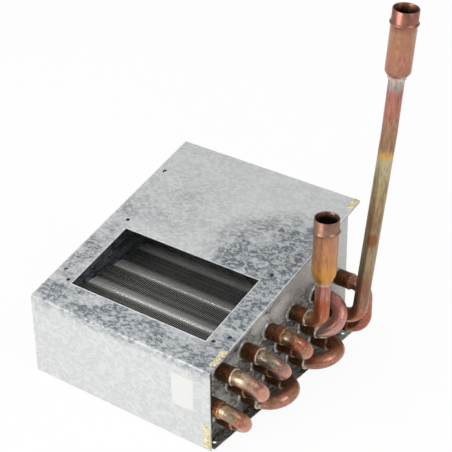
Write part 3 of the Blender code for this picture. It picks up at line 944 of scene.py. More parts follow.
@dataclass
class Casing:
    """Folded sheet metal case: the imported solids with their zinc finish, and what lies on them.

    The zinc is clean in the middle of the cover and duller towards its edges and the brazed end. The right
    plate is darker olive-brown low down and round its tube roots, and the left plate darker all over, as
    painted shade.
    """

    layout: Layout = LAYOUT
    cover: GalvanisedSteel = GalvanisedSteel(
        "zinc_of_cover", "#dadbda", "#646d75",
        (
            Stain((84.0, 130.0, 125.0), (90.0, 80.0, 60.0), 1.6),
            Stain((98.0, 62.0, 107.0), (26.0, 100.0, 50.0), 1.2),
            Stain((0.0, 6.0, 93.0), (190.0, 30.0, 16.0), 1.3),
            Stain((-98.0, 60.0, 105.0), (26.0, 120.0, 50.0), 0.8),
            Stain((-70.0, 210.0, 148.0), (80.0, 60.0, 50.0), 0.1),
            Stain((-60.0, 145.0, 130.0), (80.0, 70.0, 40.0), 0.28),
            Stain((104.0, 160.0, 135.0), (24.0, 50.0, 30.0), 1.0),
        ),
    )
    # Thin bright strips on the top are painted highlights of the sheets' cut edges, so the edges show as thin
    # lines of light.
    edge: Speckled = Speckled(
        "painted_edge_highlight", ("#d4d6d8", "#f0f1f2"), grain=3.0 * MM, roughness=0.35, metallic=0.3, relief=0.05
    )
    edge_width: float = 0.7 * MM
    edge_height: float = 0.12 * MM
    edge_inset: float = 0.05 * MM  # from the case's sides to the side strips
    left_edge_start: float = 3.0 * MM  # along the slope
    right_edge_start: float = 30.0 * MM
    right_edge_stop: float = 15.0 * MM  # short of the back
    window_x: float = 82.2 * MM  # half the window's width
    window_span: Span = (30.5 * MM, 116.9 * MM)  # its front and back edges, along the slope
    back: GalvanisedSteel = GalvanisedSteel(
        "zinc_of_back", "#cdcfd1", "#767d80", (Stain((20.0, 237.0, 70.0), (110.0, 30.0, 70.0), 0.8),)
    )
    # The left plate is darker all over, and darker still round its upper middle, as painted shade inside the
    # case.
    left: GalvanisedSteel = GalvanisedSteel(
        "zinc_of_left_plate_painted_shade", "#98a0a6", "#3a4146", (Stain((-100.0, 70.0, 100.0), (40.0, 120.0, 70.0), 1.3),),
        stretch=(1.0, 0.5, 1.0),
    )
    # The right plate's stains are painted shade: darker olive-brown low on the plate and round its tube
    # roots.
    right: GalvanisedSteel = GalvanisedSteel(
        "zinc_of_right_plate_painted_shade", "#d2d3d0", "#4e4a3e",
        (
            Stain((100.0, 110.0, 14.0), (40.0, 160.0, 66.0), 1.7),
            Stain((100.0, 22.0, 62.0), (40.0, 30.0, 26.0), 1.3),
            Stain((100.0, 62.0, 62.0), (40.0, 26.0, 26.0), 1.2),
            Stain((100.0, 101.0, 60.0), (40.0, 22.0, 26.0), 1.2),
            Stain((100.0, 165.0, 60.0), (40.0, 50.0, 40.0), 1.0),
            Stain((100.0, 42.0, 82.0), (40.0, 50.0, 16.0), 0.8),
            Stain((100.0, 95.0, 88.0), (40.0, 60.0, 18.0), 0.8),
        ),
        stretch=(1.0, 0.6, 1.0), cloud=12.0 * MM,
        blooms=(
            Stain((97.0, 88.0, 84.0), (12.0, 17.0, 10.0), 2.2),
            Stain((97.0, 124.0, 87.0), (12.0, 22.0, 12.0), 1.8),
            Stain((97.0, 50.0, 66.0), (12.0, 14.0, 10.0), 0.9),
        ),
    )
    # The holes' walls are near-black as painted shade, so the holes look deep.
    punched: Speckled = Speckled("painted_hole_shade", ("#1c1b19", "#35332f"), roughness=0.6)
    edge_hole_x: float = 100.1 * MM
    edge_hole_distances: Pair = (43.7 * MM, 203.99 * MM)
    hole_rings: tuple[Station, ...] = (  # radius and height over the top, in mm
        (2.04, -2.2), (2.04, -0.1), (1.75, -0.1), (1.75, -2.2),
    )
    hole_sides: int = 20
    # A near-black strip stands in the seam as painted shade, so the seam looks like a deep gap.
    seam: Speckled = Speckled("painted_seam_shadow", ("#1c1916", "#35302a"), roughness=0.7)
    seam_low: Triple = (107.6 * MM, -6.2 * MM, 27.0 * MM)
    seam_high: Triple = (108.7 * MM, -3.6 * MM, 87.0 * MM)
    # Drawn zinc is smoother than the sheet, so each collar has a ring of light and a dark side.
    collar: Speckled = Speckled(
        "drawn_zinc_collar", ("#8f8c84", "#d2d2cc"), grain=4.0 * MM, roughness=0.3, metallic=0.5, relief=0.05
    )
    collar_rings: tuple[Station, ...] = (  # radius and height over the plate, in mm
        (10.2, 0.05), (8.9, 0.5), (8.2, 1.2), (7.95, 2.0), (7.8, 2.0), (7.8, 0.05),
    )
    collar_sides: int = 28
    # Matt paper, a little greyer than the zinc round it.
    paper: Speckled = Speckled(
        "label_paper", ("#d3d3d0", "#cbccca"), grain=1.5 * MM, roughness=0.6, relief=0.02
    )
    label_low: Pair = (64.5 * MM, 38.5 * MM)  # x and z of its lower left corner
    label_size: Pair = (25.5 * MM, 35.0 * MM)
    label_thickness: float = 0.15 * MM
    label_cuts: int = 5

    def dress(self) -> None:
        """Gives each packed sheet its own zinc finish."""
        for node, finish in (
            ("cover", self.cover), ("back_wall", self.back),
            ("left_end_plate", self.left), ("right_end_plate", self.right),
        ):
            material = finish.make()
            for slot in bpy.data.objects[node].material_slots:
                slot.material = material

    def add_collars(self) -> None:
        """Adds the trumpet-shaped edge that the punch drew round each tube hole of the end plates."""
        places = []
        for side in (-1, 1):
            for tube in self.layout.runs():
                place = self.layout.run(tube) + Vector((side * self.layout.plate_x, 0.0, 0.0))
                places.append(Matrix.Translation(place) @ Matrix.Rotation(side * math.pi / 2, 4, "Y"))
        collars = turned_at("tube_collars", in_metres(self.collar_rings), self.collar_sides, places)
        shade(collars, angle=60.0)
        fit(collars, self.collar.make())

    def add_label(self) -> None:
        """Adds the paper label on the front wall, left bare."""
        deselect()
        x, z = self.label_low
        width, height = self.label_size
        bpy.ops.mesh.primitive_plane_add(
            size=1.0, location=(x + width / 2, self.layout.front_y - self.label_thickness, z + height / 2),
            rotation=(math.pi / 2, 0.0, 0.0),
        )
        label = name_piece(bpy.context.object, "paper_label")
        bpy.ops.transform.resize(value=(width, 1.0, height))
        settle(label)
        bpy.ops.object.mode_set(mode="EDIT")
        bpy.ops.mesh.select_all(action="SELECT")
        bpy.ops.mesh.subdivide(number_cuts=self.label_cuts)
        bpy.ops.object.mode_set(mode="OBJECT")
        solid = label.modifiers.new("paper", "SOLIDIFY")
        solid.thickness = self.label_thickness
        solid.offset = -1.0
        apply_modifiers(label)
        fit(label, self.paper.make())

    def add_edges(self) -> None:
        """Adds bright strips round the window and along the top's side edges, as painted highlights of the
        cut edges.
        """
        layout = self.layout
        near, far = self.window_span
        width, side = self.edge_width, layout.case_width / 2 - self.edge_inset
        back = layout.case_depth / math.cos(layout.slope)
        strips = (
            (-self.window_x - width, -self.window_x, near - width, far + width),
            (self.window_x, self.window_x + width, near - width, far + width),
            (-self.window_x, self.window_x, near - width, near),
            (-self.window_x, self.window_x, far, far + width),
            (side - width, side, self.right_edge_start, back - self.right_edge_stop),
            (-side, width - side, self.left_edge_start, back),
        )
        highlight_strips = [
            add_box("edge_highlight_strips", (low_x, low_y, 0.0), (high_x, high_y, self.edge_height))
            for low_x, high_x, low_y, high_y in strips
        ]
        place = Matrix.Translation(layout.on_top(0.0, 0.0)) @ Matrix.Rotation(layout.slope, 4, "X")
        # painted highlights along the cut edges
        fit(settle(join(highlight_strips, "edge_highlight_strips"), place), self.edge.make())

    def add_hole_edges(self) -> None:
        """Adds the wall of each screw hole that passes through the top and the flange below it, near-black as
        painted shade.
        """
        layout = self.layout
        places = []
        for x in (-self.edge_hole_x, self.edge_hole_x):
            for distance in self.edge_hole_distances:
                place = Matrix.Translation(layout.on_top(x, distance))
                places.append(place @ Matrix.Rotation(layout.slope, 4, "X"))
        walls = turned_at("screw_hole_walls", in_metres(self.hole_rings), self.hole_sides, places)
        shade(walls)
        # near-black painted shade on the hole walls
        fit(walls, self.punched.make())

    def add_seam(self) -> None:
        """Adds a near-black rounded strip in the seam behind the front wall's right edge, as painted shade of
        the gap.
        """
        bead = add_box("front_seam_shadow_strip", self.seam_low, self.seam_high)
        rounded = bead.modifiers.new("rounded", "BEVEL")
        rounded.width = (self.seam_high[0] - self.seam_low[0]) / 3
        rounded.segments = 3
        apply_modifiers(bead)
        shade(bead)
        # painted shade of the seam's gap
        fit(bead, self.seam.make())

    def build(self) -> None:
        """Dresses the sheets and adds the collars, the painted highlights of the cut edges, the hole walls
        and seam strip painted as shade, and the label.
        """
        self.dress()
        self.add_collars()
        self.add_edges()
        self.add_hole_edges()
        self.add_seam()
        self.add_label()


@dataclass
class FinPack:
    """Thin aluminium fins on their pitch, bored for the runs, with the sleeve of collars on each run."""

    layout: Layout = LAYOUT
    count: int = 85
    pitch: float = 2.18 * MM
    thickness: float = 0.36 * MM
    hole_radius: float = 7.1 * MM
    hole_sides: int = 10
    low: float = 6.9 * MM
    high: float = 78.3 * MM
    front: float = -5.95 * MM
    back: float = 230.3 * MM
    sway: float = 0.12 * MM  # how far a fin stands off its pitch
    seed: int = 7
    punch_length: float = 7.2 * MM
    sleeve_sides: int = 24
    sleeve_radius: float = 7.0 * MM
    sleeve_play: float = 0.1 * MM  # between a run and its sleeve
    sleeve_gap: float = 0.4 * MM  # between a sleeve and the end plates
    # Its colours are painted light and shade on the fins.
    fin_finish: FinAluminium = FinAluminium("fin_aluminium_painted_light")
    # Drawing polished the collars, so each run has one sharp line of light.
    sleeve_finish: Speckled = Speckled(
        "drawn_aluminium_collar", ("#e6e6e3", "#f7f7f5"), grain=3.0 * MM, roughness=0.17, metallic=0.8,
        relief=0.03,
    )

    def add_fin(self) -> Object:
        """Models one fin: a thin plate with a hole for each run.

        Returns:
            The fin, in the middle of the case.
        """
        half = self.thickness / 2
        fin = add_box("fins", (-half, self.front, self.low), (half, self.back, self.high))
        punches = []
        for tube in self.layout.runs():
            deselect()
            bpy.ops.mesh.primitive_cylinder_add(
                vertices=self.hole_sides, radius=self.hole_radius, depth=self.punch_length,
                location=self.layout.run(tube), rotation=(0.0, math.pi / 2, 0.0),
            )
            punches.append(bpy.context.object)
        punch = join(punches, "punch")
        cut = fin.modifiers.new("tube_holes", "BOOLEAN")
        cut.object = punch
        cut.operation = "DIFFERENCE"
        cut.solver = "EXACT"
        apply_modifiers(fin)
        bpy.data.objects.remove(punch, do_unlink=True)
        return fin

    def add_fins(self) -> None:
        """Copies the fin along the runs."""
        fin = self.add_fin()
        row = fin.modifiers.new("fin_pitch", "ARRAY")
        row.count = self.count
        row.use_relative_offset = False
        row.use_constant_offset = True
        row.constant_offset_displace = (self.pitch, 0.0, 0.0)
        apply_modifiers(fin)
        first = -(self.count - 1) * self.pitch / 2
        draw = random.Random(self.seed)
        shifts = [first + draw.uniform(-self.sway, self.sway) for _ in range(self.count)]
        for vertex in fin.data.vertices:
            vertex.co.x += shifts[min(max(round(vertex.co.x / self.pitch), 0), self.count - 1)]
        fit(fin, self.fin_finish.make(), ["fin_pack"])

    def add_sleeves(self) -> None:
        """Adds the collars that were drawn from the fins, as one sleeve on each run."""
        reach = self.layout.plate_x - self.layout.sheet - self.sleeve_gap
        bore = self.layout.tube_radius + self.sleeve_play
        stations = ((bore, -reach), (self.sleeve_radius, -reach), (self.sleeve_radius, reach), (bore, reach))
        turn = Matrix.Rotation(math.pi / 2, 4, "Y")
        places = [Matrix.Translation(self.layout.run(tube)) @ turn for tube in self.layout.runs()]
        sleeves = turned_at("fin_collars", stations, self.sleeve_sides, places)
        shade(sleeves)
        fit(sleeves, self.sleeve_finish.make())

    def build(self) -> None:
        """Builds the fins and their collars."""
        self.add_fins()
        self.add_sleeves()


@dataclass(frozen=True)
class Bend:
    """A return bend between two runs at the right end."""

    number: int
    start: str
    end: str
    stand: float  # mm that its legs stand out of their cups before they turn
    lift: float  # slope at which it is tipped up
    stops: Stops  # tints along it
    patina: str
    corner: float = 19.66  # mm


BENDS = (
    Bend(
        1, "M1", "L1", 0.4, 0.0,
        ((6.0, "#b5683a"), (9.5, "#ae9c82"), (13.0, "#a07a60"), (17.0, "#8a8470"), (21.0, "#b06c4c"),
         (25.0, "#9c6858"), (30.0, "#cc8c74"), (40.0, "#cc9078"), (48.0, "#8c524c"), (64.0, "#6c3e38")),
        "#9c8c74",
    ),
    Bend(
        2, "T1", "M2", 6.0, 0.0,
        ((6.0, "#8c5832"), (9.5, "#ac9a80"), (13.0, "#9c7456"), (17.0, "#c8b8a0"), (22.0, "#a87050"),
         (27.0, "#9a6a66"), (32.0, "#cb8c76"), (45.0, "#cd9986"), (54.0, "#8c5450"), (75.0, "#7c4438")),
        "#b8a890",
    ),
    Bend(
        3, "T2", "M3", 2.9, 0.0,
        ((6.0, "#9c5c38"), (9.5, "#c8bca4"), (13.5, "#80664e"), (19.0, "#8f8878"), (24.0, "#94685a"),
         (28.0, "#946c68"), (33.0, "#c98a74"), (43.0, "#d0968a"), (52.0, "#8c5654"), (70.0, "#743f36")),
        "#84806c",
    ),
    Bend(
        4, "T3", "M4", 1.0, 0.0,
        ((6.0, "#965836"), (9.5, "#a8987c"), (13.5, "#805838"), (22.0, "#a8664a"), (27.0, "#9c6858"),
         (33.0, "#c67f62"), (42.0, "#c08454"), (50.0, "#a86048"), (66.0, "#7c422c")),
        "#a0906c",
    ),
    Bend(
        5, "T5", "M5", 0.8, 0.10,
        ((6.0, "#a86048"), (14.0, "#c88478"), (30.0, "#d08a80"), (44.0, "#c9988a"), (54.0, "#dccab4"),
         (66.0, "#b06a4c")),
        "#b0908a",
    ),
    Bend(
        6, "T6", "L6", 0.4, 0.18,
        ((6.0, "#b9b2a8"), (12.0, "#b07a68"), (28.0, "#b56c4c"), (60.0, "#a05c44"), (84.0, "#8a4a34")),
        "#8f6c58", corner=15.8,
    ),
    Bend(
        7, "L2", "L3", 0.6, 0.12,
        ((6.0, "#cdc6b8"), (12.0, "#a8765a"), (28.0, "#b98272"), (44.0, "#a86c4c"), (58.0, "#7e6a4a"),
         (75.0, "#985c3c")),
        "#7c6c4c", corner=18.2,
    ),
    Bend(
        8, "L4", "L5", 0.4, 0.16,
        ((6.0, "#c4baa8"), (12.0, "#a4644a"), (28.0, "#b8806c"), (44.0, "#b06c48"), (58.0, "#9c5f3c"),
         (75.0, "#8c5034")),
        "#8c7050", corner=18.2,
    ),
)
BRIGHT_JOINTS = ("T1", "T2", "T4", "M5", "M6", "L2", "L4")  # where the braze froze bright
HAIRPINS = (
    ("T1", "M1"), ("T2", "M2"), ("T3", "M3"), ("T4", "M4"), ("T5", "T6"),
    ("M5", "M6"), ("L1", "L2"), ("L3", "L4"), ("L5", "L6"),
)


@dataclass(frozen=True)
class Riser:
    """A connection pipe and its socket, in millimetres and radians."""

    name: str
    tube: str  # the run that it rises from
    corner: float  # from the cups' lips to where the axes cross
    elbow: float  # radius of the elbow's axis
    lean: float
    change: float  # height from which on the socket's lean holds
    socket_lean: float
    height: float  # of the socket's foot
    length: float  # of the socket
    taper: float  # length of the socket's cone

    def axis(self, layout: Layout, height: float) -> Vector:
        """Finds the point of the riser's axis at a height.

        Args:
            layout: The shared sizes.
            height: The height, in metres.

        Returns:
            The point.
        """
        run = layout.run(self.tube)
        change = self.change * MM
        x = layout.lip_x + self.corner * MM + (min(height, change) - run.z) * math.tan(self.lean)
        return Vector((x + max(height - change, 0.0) * math.tan(self.socket_lean), run.y, height))


SHORT_RISER = Riser(
    "short_pipe", "T4", corner=15.5, elbow=13.1, lean=math.radians(1.9), change=104.0,
    socket_lean=math.radians(1.9), height=117.8, length=70.8, taper=11.4,
)
LONG_RISER = Riser(
    "long_pipe", "M6", corner=21.1, elbow=18.7, lean=math.radians(6.6), change=259.5,
    socket_lean=math.radians(5.0), height=315.6, length=67.3, taper=5.2,
)


@dataclass
class Tubing:
    """The copper circuit: hairpins with their cups, return bends, and the braze at each cup."""

    layout: Layout = LAYOUT
    cup_bore: float = 7.8 * MM
    cup_radius: float = 8.45 * MM
    cup_length: float = 15.0 * MM
    cup_taper: float = 2.2 * MM
    lip_rings: tuple[Station, ...] = (  # radius past the cup's and depth from its lip, in mm
        (-0.1, 0.0), (0.32, 0.3), (0.32, 0.8), (0.0, 1.4),
    )
    hairpin_reach: float = 3.0 * MM
    sides: int = 24
    arc_steps: int = 8
    nearest: float = 0.1 * MM  # points of a bend's axis lie farther apart than this
    fillet_gap: float = 0.3 * MM  # from the bend's face to the middle of the fillet's section
    fillet_stand: float = 0.2 * MM  # from the cup's lip
    fillet_radius: float = 0.7 * MM
    fillet_segments: tuple[int, int] = (40, 8)
    fillet_waves: tuple[int, ...] = (1, 2, 3, 5)  # waves of its unevenness round the tube
    wave_sizes: Span = (0.1, 0.3)
    fillet_run: float = 1.6  # how far it runs up the bend, as a multiple of its radius
    run_swell: float = 2.0  # how much the waves change that
    fillet_swell: float = 0.6  # and its thickness
    seed: int = 3
    # The torch browned the tubes behind the bends, and their darkest browns are painted shade, so the roots
    # lie in warm shade.
    root: TintedCopper = TintedCopper(
        "scorched_and_shaded_root_copper",
        ((0.0, "#96603a"), (5.0, "#84482a"), (11.0, "#63482a"), (17.0, "#82452a"), (60.0, "#b06a48")),
        patina="#54431f", patches=0.7, fleck="#3a2014", flecks=0.6, roughness=(0.33, 0.5),
    )
    # Silver alloy that froze clean looks like a pale ring at the foot of a bend.
    bright_braze: Speckled = Speckled(
        "silver_braze", ("#a8946c", "#e0d8c4", "#f2ede0"), grain=3.0 * MM, roughness=0.35, metallic=0.4
    )
    # Flux scorched the rest, which looks like a brown and yellow crust.
    dull_braze: Speckled = Speckled(
        "scorched_braze", ("#6e4426", "#a8794c", "#c4a884"), grain=3.0 * MM, roughness=0.45, metallic=0.4
    )

    def hairpin(self, number: int, pair: tuple[str, str]) -> Object:
        """Models one hairpin: two runs, the bend at the left and a flared cup at each right end.

        Args:
            number: The hairpin's number.
            pair: The runs that it joins.

        Returns:
            The hairpin, whose "along" attribute is the distance in from the cups' lips.
        """
        first, last = (self.layout.run(tube) for tube in pair)
        lip = self.layout.lip_x
        end = lip - self.cup_length
        run = self.layout.tube_radius
        turn_x = -(self.layout.plate_x + self.hairpin_reach)
        stations = [
            (self.cup_bore, lip - self.layout.cup_depth),
            (self.cup_bore, lip),
            *[(self.cup_radius + swell * MM, lip - depth * MM) for swell, depth in self.lip_rings],
            (self.cup_radius, end),
            ((self.cup_radius + run) / 2, end - self.cup_taper / 2),
            (run, end - self.cup_taper),
            (run, turn_x),
        ]
        deselect()
        radius, x = stations[0]
        bpy.ops.mesh.primitive_circle_add(
            vertices=self.sides, radius=radius, fill_type="NOTHING",
            location=(x, first.y, first.z), rotation=(0.0, math.pi / 2, 0.0),
        )
        obj = name_piece(bpy.context.object, "hairpin_tube_%d" % number)
        bpy.ops.object.mode_set(mode="EDIT")
        bpy.ops.mesh.select_all(action="SELECT")
        out = Vector((1.0, 0.0, 0.0))
        draw_out(stations, first, out)
        middle = (first + last) / 2
        centre = middle + turn_x * out
        axis = out.cross((last - first).normalized())
        bpy.ops.mesh.spin(steps=2 * self.arc_steps, angle=math.pi, center=centre, axis=axis)
        draw_out(stations[::-1], last, out)
        close_mesh()
        settle(obj)
        follow(obj, [middle + lip * out, centre])
        shade(obj)
        return obj

    def bend_path(self, bend: Bend) -> list[Vector]:
        """Works out points of a return bend's axis, from one cup to the other.

        Args:
            bend: The return bend.

        Returns:
            The points.
        """
        start, end = self.layout.run(bend.start), self.layout.run(bend.end)
        across = (end - start).normalized()
        out = Vector((1.0, 0.0, 0.0))
        lip = self.layout.lip_x
        corner = min(bend.corner * MM, (end - start).length / 2)
        leg = lip - self.layout.cup_depth + self.layout.cup_gap
        base = out * (lip + bend.stand * MM)
        first, last = start + base + across * corner, end + base - across * corner
        points = [start + out * leg, start + out * lip]
        for centre, before, after in ((first, -across, out), (last, out, across)):
            for step in range(self.arc_steps + 1):
                angle = math.pi / 2 * step / self.arc_steps
                point = centre + before * corner * math.cos(angle) + after * corner * math.sin(angle)
                if (point - points[-1]).length > self.nearest:
                    points.append(point)
        points += [end + out * lip, end + out * leg]
        return [point + Vector((0.0, 0.0, bend.lift * max(point.x - lip, 0.0))) for point in points]

    def add_braze(self, tube: str, draw: random.Random) -> Object:
        """Adds the fillet of braze where a bend enters a run's cup, uneven as it froze.

        Args:
            tube: The run.
            draw: Source of the unevenness.

        Returns:
            The fillet.
        """
        radius = self.layout.bend_radius + self.fillet_gap
        place = self.layout.run(tube) + Vector((self.layout.lip_x + self.fillet_stand, 0.0, 0.0))
        deselect()
        bpy.ops.mesh.primitive_torus_add(
            major_segments=self.fillet_segments[0], minor_segments=self.fillet_segments[1],
            major_radius=radius, minor_radius=self.fillet_radius,
            location=place, rotation=(0.0, math.pi / 2, 0.0),
        )
        ring = settle(bpy.context.object)
        waves = [
            (count, draw.uniform(0.0, 2 * math.pi), draw.uniform(*self.wave_sizes))
            for count in self.fillet_waves
        ]
        for vertex in ring.data.vertices:
            arm = vertex.co - place
            angle = math.atan2(arm.z, arm.y)
            swell = sum(size * math.sin(count * angle + phase) for count, phase, size in waves)
            middle = Vector((0.0, arm.y, arm.z)).normalized() * radius
            off = arm - middle
            if off.x > 0.0:
                off.x *= self.fillet_run + self.run_swell * swell
            vertex.co = place + middle + off * (1.0 + self.fillet_swell * swell)
        shade(ring)
        return name_piece(ring, "braze_" + tube)

    def build(self) -> None:
        """Builds the hairpins, bends and braze."""
        root = self.root.make()
        for number, pair in enumerate(HAIRPINS, start=1):
            fit(self.hairpin(number, pair), root, ["hairpin_%d" % number])
        for bend in BENDS:
            name = "bend_%s_%s" % (bend.start, bend.end)
            tube = swept(name, self.bend_path(bend), self.layout.bend_radius)
            finish = TintedCopper("bend_copper_%d" % bend.number, bend.stops, bend.patina)
            fit(tube, finish.make(), ["return_bend_%d" % bend.number])
        draw = random.Random(self.seed)
        bright, dull = self.bright_braze.make(), self.dull_braze.make()
        for tube in self.layout.runs():
            fit(self.add_braze(tube, draw), bright if tube in BRIGHT_JOINTS else dull)


def ease(share: float) -> float:
    """Goes softly from zero to one as a share does, and stays there outside of them."""
    return 0.5 - 0.5 * math.cos(min(max(share, 0.0), 1.0) * math.pi)


@dataclass
class Connection:
    """A connection pipe with its elbow and the socket brazed on its end."""

    riser: Riser
    pipe_stops: Stops
    socket_stops: Stops
    patina: str
    spots: tuple[Stain, ...] = ()
    socket_patina: str = "#a5705c"
    streaks: Triple = (1.6, 1.6, 0.22)  # drawn out along the pipe
    brushed: Triple = (1.0, 1.0, 0.45)
    layout: Layout = LAYOUT
    seat: float = 5.0 * MM
    bore: float = 11.05 * MM
    socket_wall: float = 0.95 * MM
    bead: float = 1.35 * MM
    rim: float = 0.15 * MM
    bead_top: float = 11.2 * MM
    bead_height: float = 4.6 * MM
    neck_length: float = 2.6 * MM
    play: float = 0.3 * MM  # between the pipe and the neck's bore
    stop: float = 0.6 * MM  # between the pipe's end and the end of the neck's bore
    bead_rise: float = 0.5  # share of the bead's height over which it swells out
    bead_fall: float = 0.4  # and over which it falls to the rim
    rim_round: Pair = (0.1 * MM, 0.4 * MM)  # width and height of the mouth's outer edge
    bore_lead: Pair = (0.25 * MM, 0.3 * MM)  # and of its inner one
    groove: float = 0.6 * MM  # depth of the bore's groove behind the bead
    groove_span: Span = (0.1, 0.9)  # its ends, as shares of the bead's height
    near: float = 0.1 * MM  # a vertex this near to the bore belongs to it
    wander: float = 2.0  # of the tints, in mm
    pipe_sides: int = 32
    sides: int = 48
    profile_steps: int = 8
    rise_steps: int = 4
    steps: int = 12

    def path(self) -> list[Vector]:
        """Works out points of the pipe's axis.

        Returns:
            The points, from its cup to its seat in the socket.
        """
        riser, layout = self.riser, self.layout
        run = layout.run(riser.tube)
        lip = layout.lip_x
        turn = math.pi / 2 - riser.lean
        elbow = riser.elbow * MM
        start = Vector((lip + riser.corner * MM - elbow * math.tan(turn / 2), run.y, run.z))
        leg = lip - layout.cup_depth + layout.cup_gap
        points = [Vector((x, run.y, run.z)) for x in (leg, lip)]
        for index in range(self.steps + 1):
            angle = turn * index / self.steps
            points.append(start + elbow * Vector((math.sin(angle), 0.0, 1.0 - math.cos(angle))))
        low, change = points[-1].z, riser.change * MM
        for index in range(1, self.rise_steps + 1):
            points.append(riser.axis(layout, low + (change - low) * index / self.rise_steps))
        return points + [riser.axis(layout, riser.height * MM + self.seat)]

    def add_pipe(self) -> None:
        """Adds the pipe."""
        name = self.riser.name
        tube = swept(name + "_tube", self.path(), self.layout.bend_radius, sides=self.pipe_sides)
        finish = TintedCopper(
            name + "_copper", self.pipe_stops, self.patina, spots=self.spots, stretch=self.streaks,
            wander=self.wander,
        )
        fit(tube, finish.make(), [name])

    def profile(self) -> list[Station]:
        """Works out the socket's section: up its outside to the mouth, and down its bore.

        Returns:
            Radius and height of each of its corners, from the outside of its foot.
        """
        length, taper = self.riser.length * MM, self.riser.taper * MM
        body = self.bore + self.socket_wall
        neck_bore = self.layout.bend_radius + self.play
        neck = neck_bore + self.socket_wall
        low = length - self.bead_top - self.bead_height
        shares = [step / self.profile_steps for step in range(1, self.profile_steps + 1)]
        section = [(neck, 0.0), (neck, self.neck_length)]
        for share in shares:
            radius = neck + (body - neck) * math.sin(share * math.pi / 2)
            section.append((radius, self.neck_length + taper * share))
        section.append((body, low))
        for share in shares:
            crest = ease(share / self.bead_rise)
            fall = ease((share - 1.0 + self.bead_fall) / self.bead_fall)
            radius = body + self.bead * crest * (1.0 - fall) + self.rim * fall
            section.append((radius, low + self.bead_height * share))
        groove_low, groove_high = (low + self.bead_height * share for share in self.groove_span)
        return section + [
            (body + self.rim, length - self.rim_round[1]),
            (body - self.rim_round[0], length),
            (self.bore + self.bore_lead[0], length),
            (self.bore, length - self.bore_lead[1]),
            (self.bore, groove_high),
            (self.bore + self.groove, (groove_low + groove_high) / 2),
            (self.bore, groove_low),
            (self.bore, self.neck_length + taper + self.socket_wall),
            (neck_bore, self.seat + self.stop),
            (neck_bore, 0.0),
        ]

    def add_socket(self) -> None:
        """Adds the socket. Its tints run up the outside and on down the bore, where they darken to near-black
        as painted shade.
        """
        riser = self.riser
        length = riser.length * MM
        foot = riser.axis(self.layout, riser.height * MM)
        socket = turned(riser.name + "_mouth", self.profile(), self.sides)
        settle(socket, Matrix.Translation(foot) @ Matrix.Rotation(riser.socket_lean, 4, "Y"))
        up = Vector((math.sin(riser.socket_lean), 0.0, math.cos(riser.socket_lean)))
        follow(socket, [foot, foot + up * length])
        # Points of the bore take their tints back down from the mouth, so the bore's inside gets the
        # near-black painted shade.
        cone_end = self.neck_length + riser.taper * MM
        for vertex, item in zip(socket.data.vertices, socket.data.attributes["along"].data):
            if (vertex.co - foot).cross(up).length < self.bore + self.near and item.value > cone_end:
                item.value = 2 * length - item.value
        shade(socket)
        finish = TintedCopper(
            riser.name + "_socket_copper", self.socket_stops, self.socket_patina, patches=0.35,
            flecks=0.3, stretch=self.brushed, wander=self.wander,
        )
        fit(socket, finish.make(), [riser.name + "_socket"])

    def build(self) -> None:
        """Builds the pipe and its socket."""
        self.add_pipe()
        self.add_socket()


@dataclass(frozen=True)
class Smear:
    """A patch of foam sealant: where it lies and how large it is."""

    name: str
    node: str
    corner: Triple
    width: float
    length: float
    turn: float


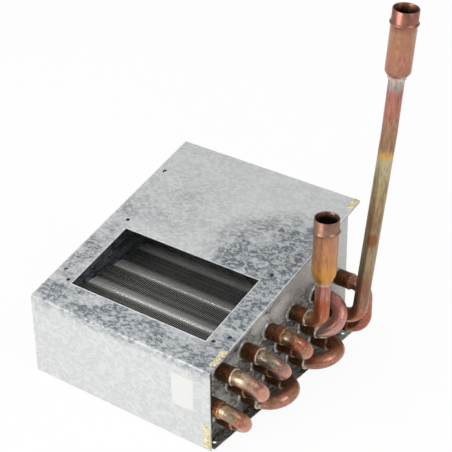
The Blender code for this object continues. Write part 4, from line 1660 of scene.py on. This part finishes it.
@dataclass
class Sealant:
    """Cream foam sealant smeared over the right-hand corners, lumpy as it cured."""

    layout: Layout = LAYOUT
    lump: float = 1.6 * MM
    lump_sizes: Span = (0.8, 1.25)
    lump_shape: Pair = (1.1, 1.5)  # width and length of a lump, as multiples of its size
    lump_height: float = 1.35 * MM
    spacing: float = 2.2 * MM
    spare: int = 6  # lumps past those that the spacing gives
    across: Span = (0.12, 0.88)  # where lumps lie, as shares of a patch's width and length
    along: Span = (0.06, 0.94)
    voxel: float = 0.35 * MM
    top_width: float = 6.2 * MM
    front_length: float = 19.7 * MM
    front_start: float = 9.3 * MM  # from the top's front edge
    back_length: float = 13.5 * MM
    foot_size: Pair = (8.8 * MM, 28.0 * MM)
    foot_start: float = 2.0 * MM
    seed: int = 11
    # Cured foam is cream and matt, with pits, so it shows as a soft pale crust.
    finish: Speckled = Speckled(
        "cured_foam_sealant", ("#aca078", "#cfc4a2", "#ddd5bd"), grain=2.6 * MM, roughness=0.85, relief=0.4
    )

    def smears(self) -> list[Smear]:
        """Lists the three patches.

        Returns:
            The patches, at their CAD places.
        """
        layout = self.layout
        edge = layout.case_width / 2
        back = layout.case_depth / math.cos(layout.slope) - self.back_length
        return [
            Smear(
                "front_corner_foam", "front_top_sealant", tuple(layout.on_top(edge, self.front_start)),
                self.top_width, self.front_length, layout.slope,
            ),
            Smear(
                "back_corner_foam", "back_top_sealant", tuple(layout.on_top(edge, back)),
                self.top_width, self.back_length, layout.slope,
            ),
            Smear(
                "foot_foam", "front_foot_sealant", (edge, layout.front_y, self.foot_start),
                *self.foot_size, math.pi / 2,
            ),
        ]

    def add_smear(self, smear: Smear, draw: random.Random) -> Object:
        """Models one patch from flattened lumps melted into each other.

        Args:
            smear: The patch.
            draw: Source of the lumps' places and sizes.

        Returns:
            The patch.
        """
        lumps = []
        for _ in range(int(smear.length * smear.width / self.spacing ** 2) + self.spare):
            deselect()
            size = draw.uniform(*self.lump_sizes) * self.lump
            x = -draw.uniform(*self.across) * smear.width
            y = draw.uniform(*self.along) * smear.length
            bpy.ops.mesh.primitive_ico_sphere_add(subdivisions=2, radius=1.0, location=(x, y, 0.0))
            lumps.append(bpy.context.object)
            width, length = self.lump_shape
            bpy.ops.transform.resize(value=(size * width, size * length, self.lump_height))
        patch = settle(join(lumps, smear.name))
        remesh = patch.modifiers.new("melted", "REMESH")
        remesh.mode = "VOXEL"
        remesh.voxel_size = self.voxel
        smooth = patch.modifiers.new("settled", "SMOOTH")
        smooth.iterations = 3
        apply_modifiers(patch)
        settle(patch, Matrix.Translation(smear.corner) @ Matrix.Rotation(smear.turn, 4, "X"))
        shade(patch, angle=60.0)
        return patch

    def build(self) -> None:
        """Builds the three patches."""
        foam = self.finish.make()
        draw = random.Random(self.seed)
        for smear in self.smears():
            fit(self.add_smear(smear, draw), foam, [smear.node])


def main() -> None:
    """Builds the studio and the heat exchanger's pieces in order."""
    logging.basicConfig(level=logging.INFO, format="%(name)s: %(message)s")
    Studio().build()
    Casing().build()
    FinPack().build()
    Tubing().build()
    Connection(
        SHORT_RISER,
        ((6.0, "#cbbca4"), (12.0, "#b98660"), (30.0, "#b8653e"), (42.0, "#bc6440"), (54.0, "#b0786c"),
         (75.0, "#ac7478")),
        # Socket tints; those past its length run down the bore and are near-black painted shade.
        ((0.0, "#c8a89c"), (5.0, "#c68f4c"), (16.0, "#cf9440"), (26.0, "#c08858"), (52.0, "#bd8462"),
         (58.0, "#94705f"), (71.0, "#8c6558"), (77.0, "#3c2118"), (130.0, "#20120c")),
        "#94543c",
    ).build()
    Connection(
        LONG_RISER,
        ((6.0, "#d2cabc"), (12.0, "#c08a5c"), (32.0, "#a8684a"), (48.0, "#8c6e5a"), (64.0, "#8a6c58"),
         (78.0, "#a0906e"), (140.0, "#9c8666"), (180.0, "#a8966e"), (208.0, "#b8ac8a"), (215.0, "#d2a24c"),
         (222.0, "#9c7a60"), (240.0, "#a07a62"), (262.0, "#b07464"), (280.0, "#b0746a"), (286.0, "#a89c94"),
         (293.0, "#bab4ae")),
        # Socket tints; those past its length run down the bore and are near-black painted shade.
        ((0.0, "#d0c4b8"), (6.0, "#a87060"), (20.0, "#b07a62"), (46.0, "#b08062"), (54.0, "#946252"),
         (67.0, "#946456"), (74.0, "#4c281c"), (130.0, "#2a1610")),
        "#86603f",
        (
            Stain((151.2, 193.4, 144.0), (6.5, 7.0, 9.0), 2.5),
            Stain((146.0, 193.4, 92.0), (9.0, 7.0, 24.0), 0.9),
        ),
    ).build()
    Sealant().build()


if __name__ == "__main__":
    main()
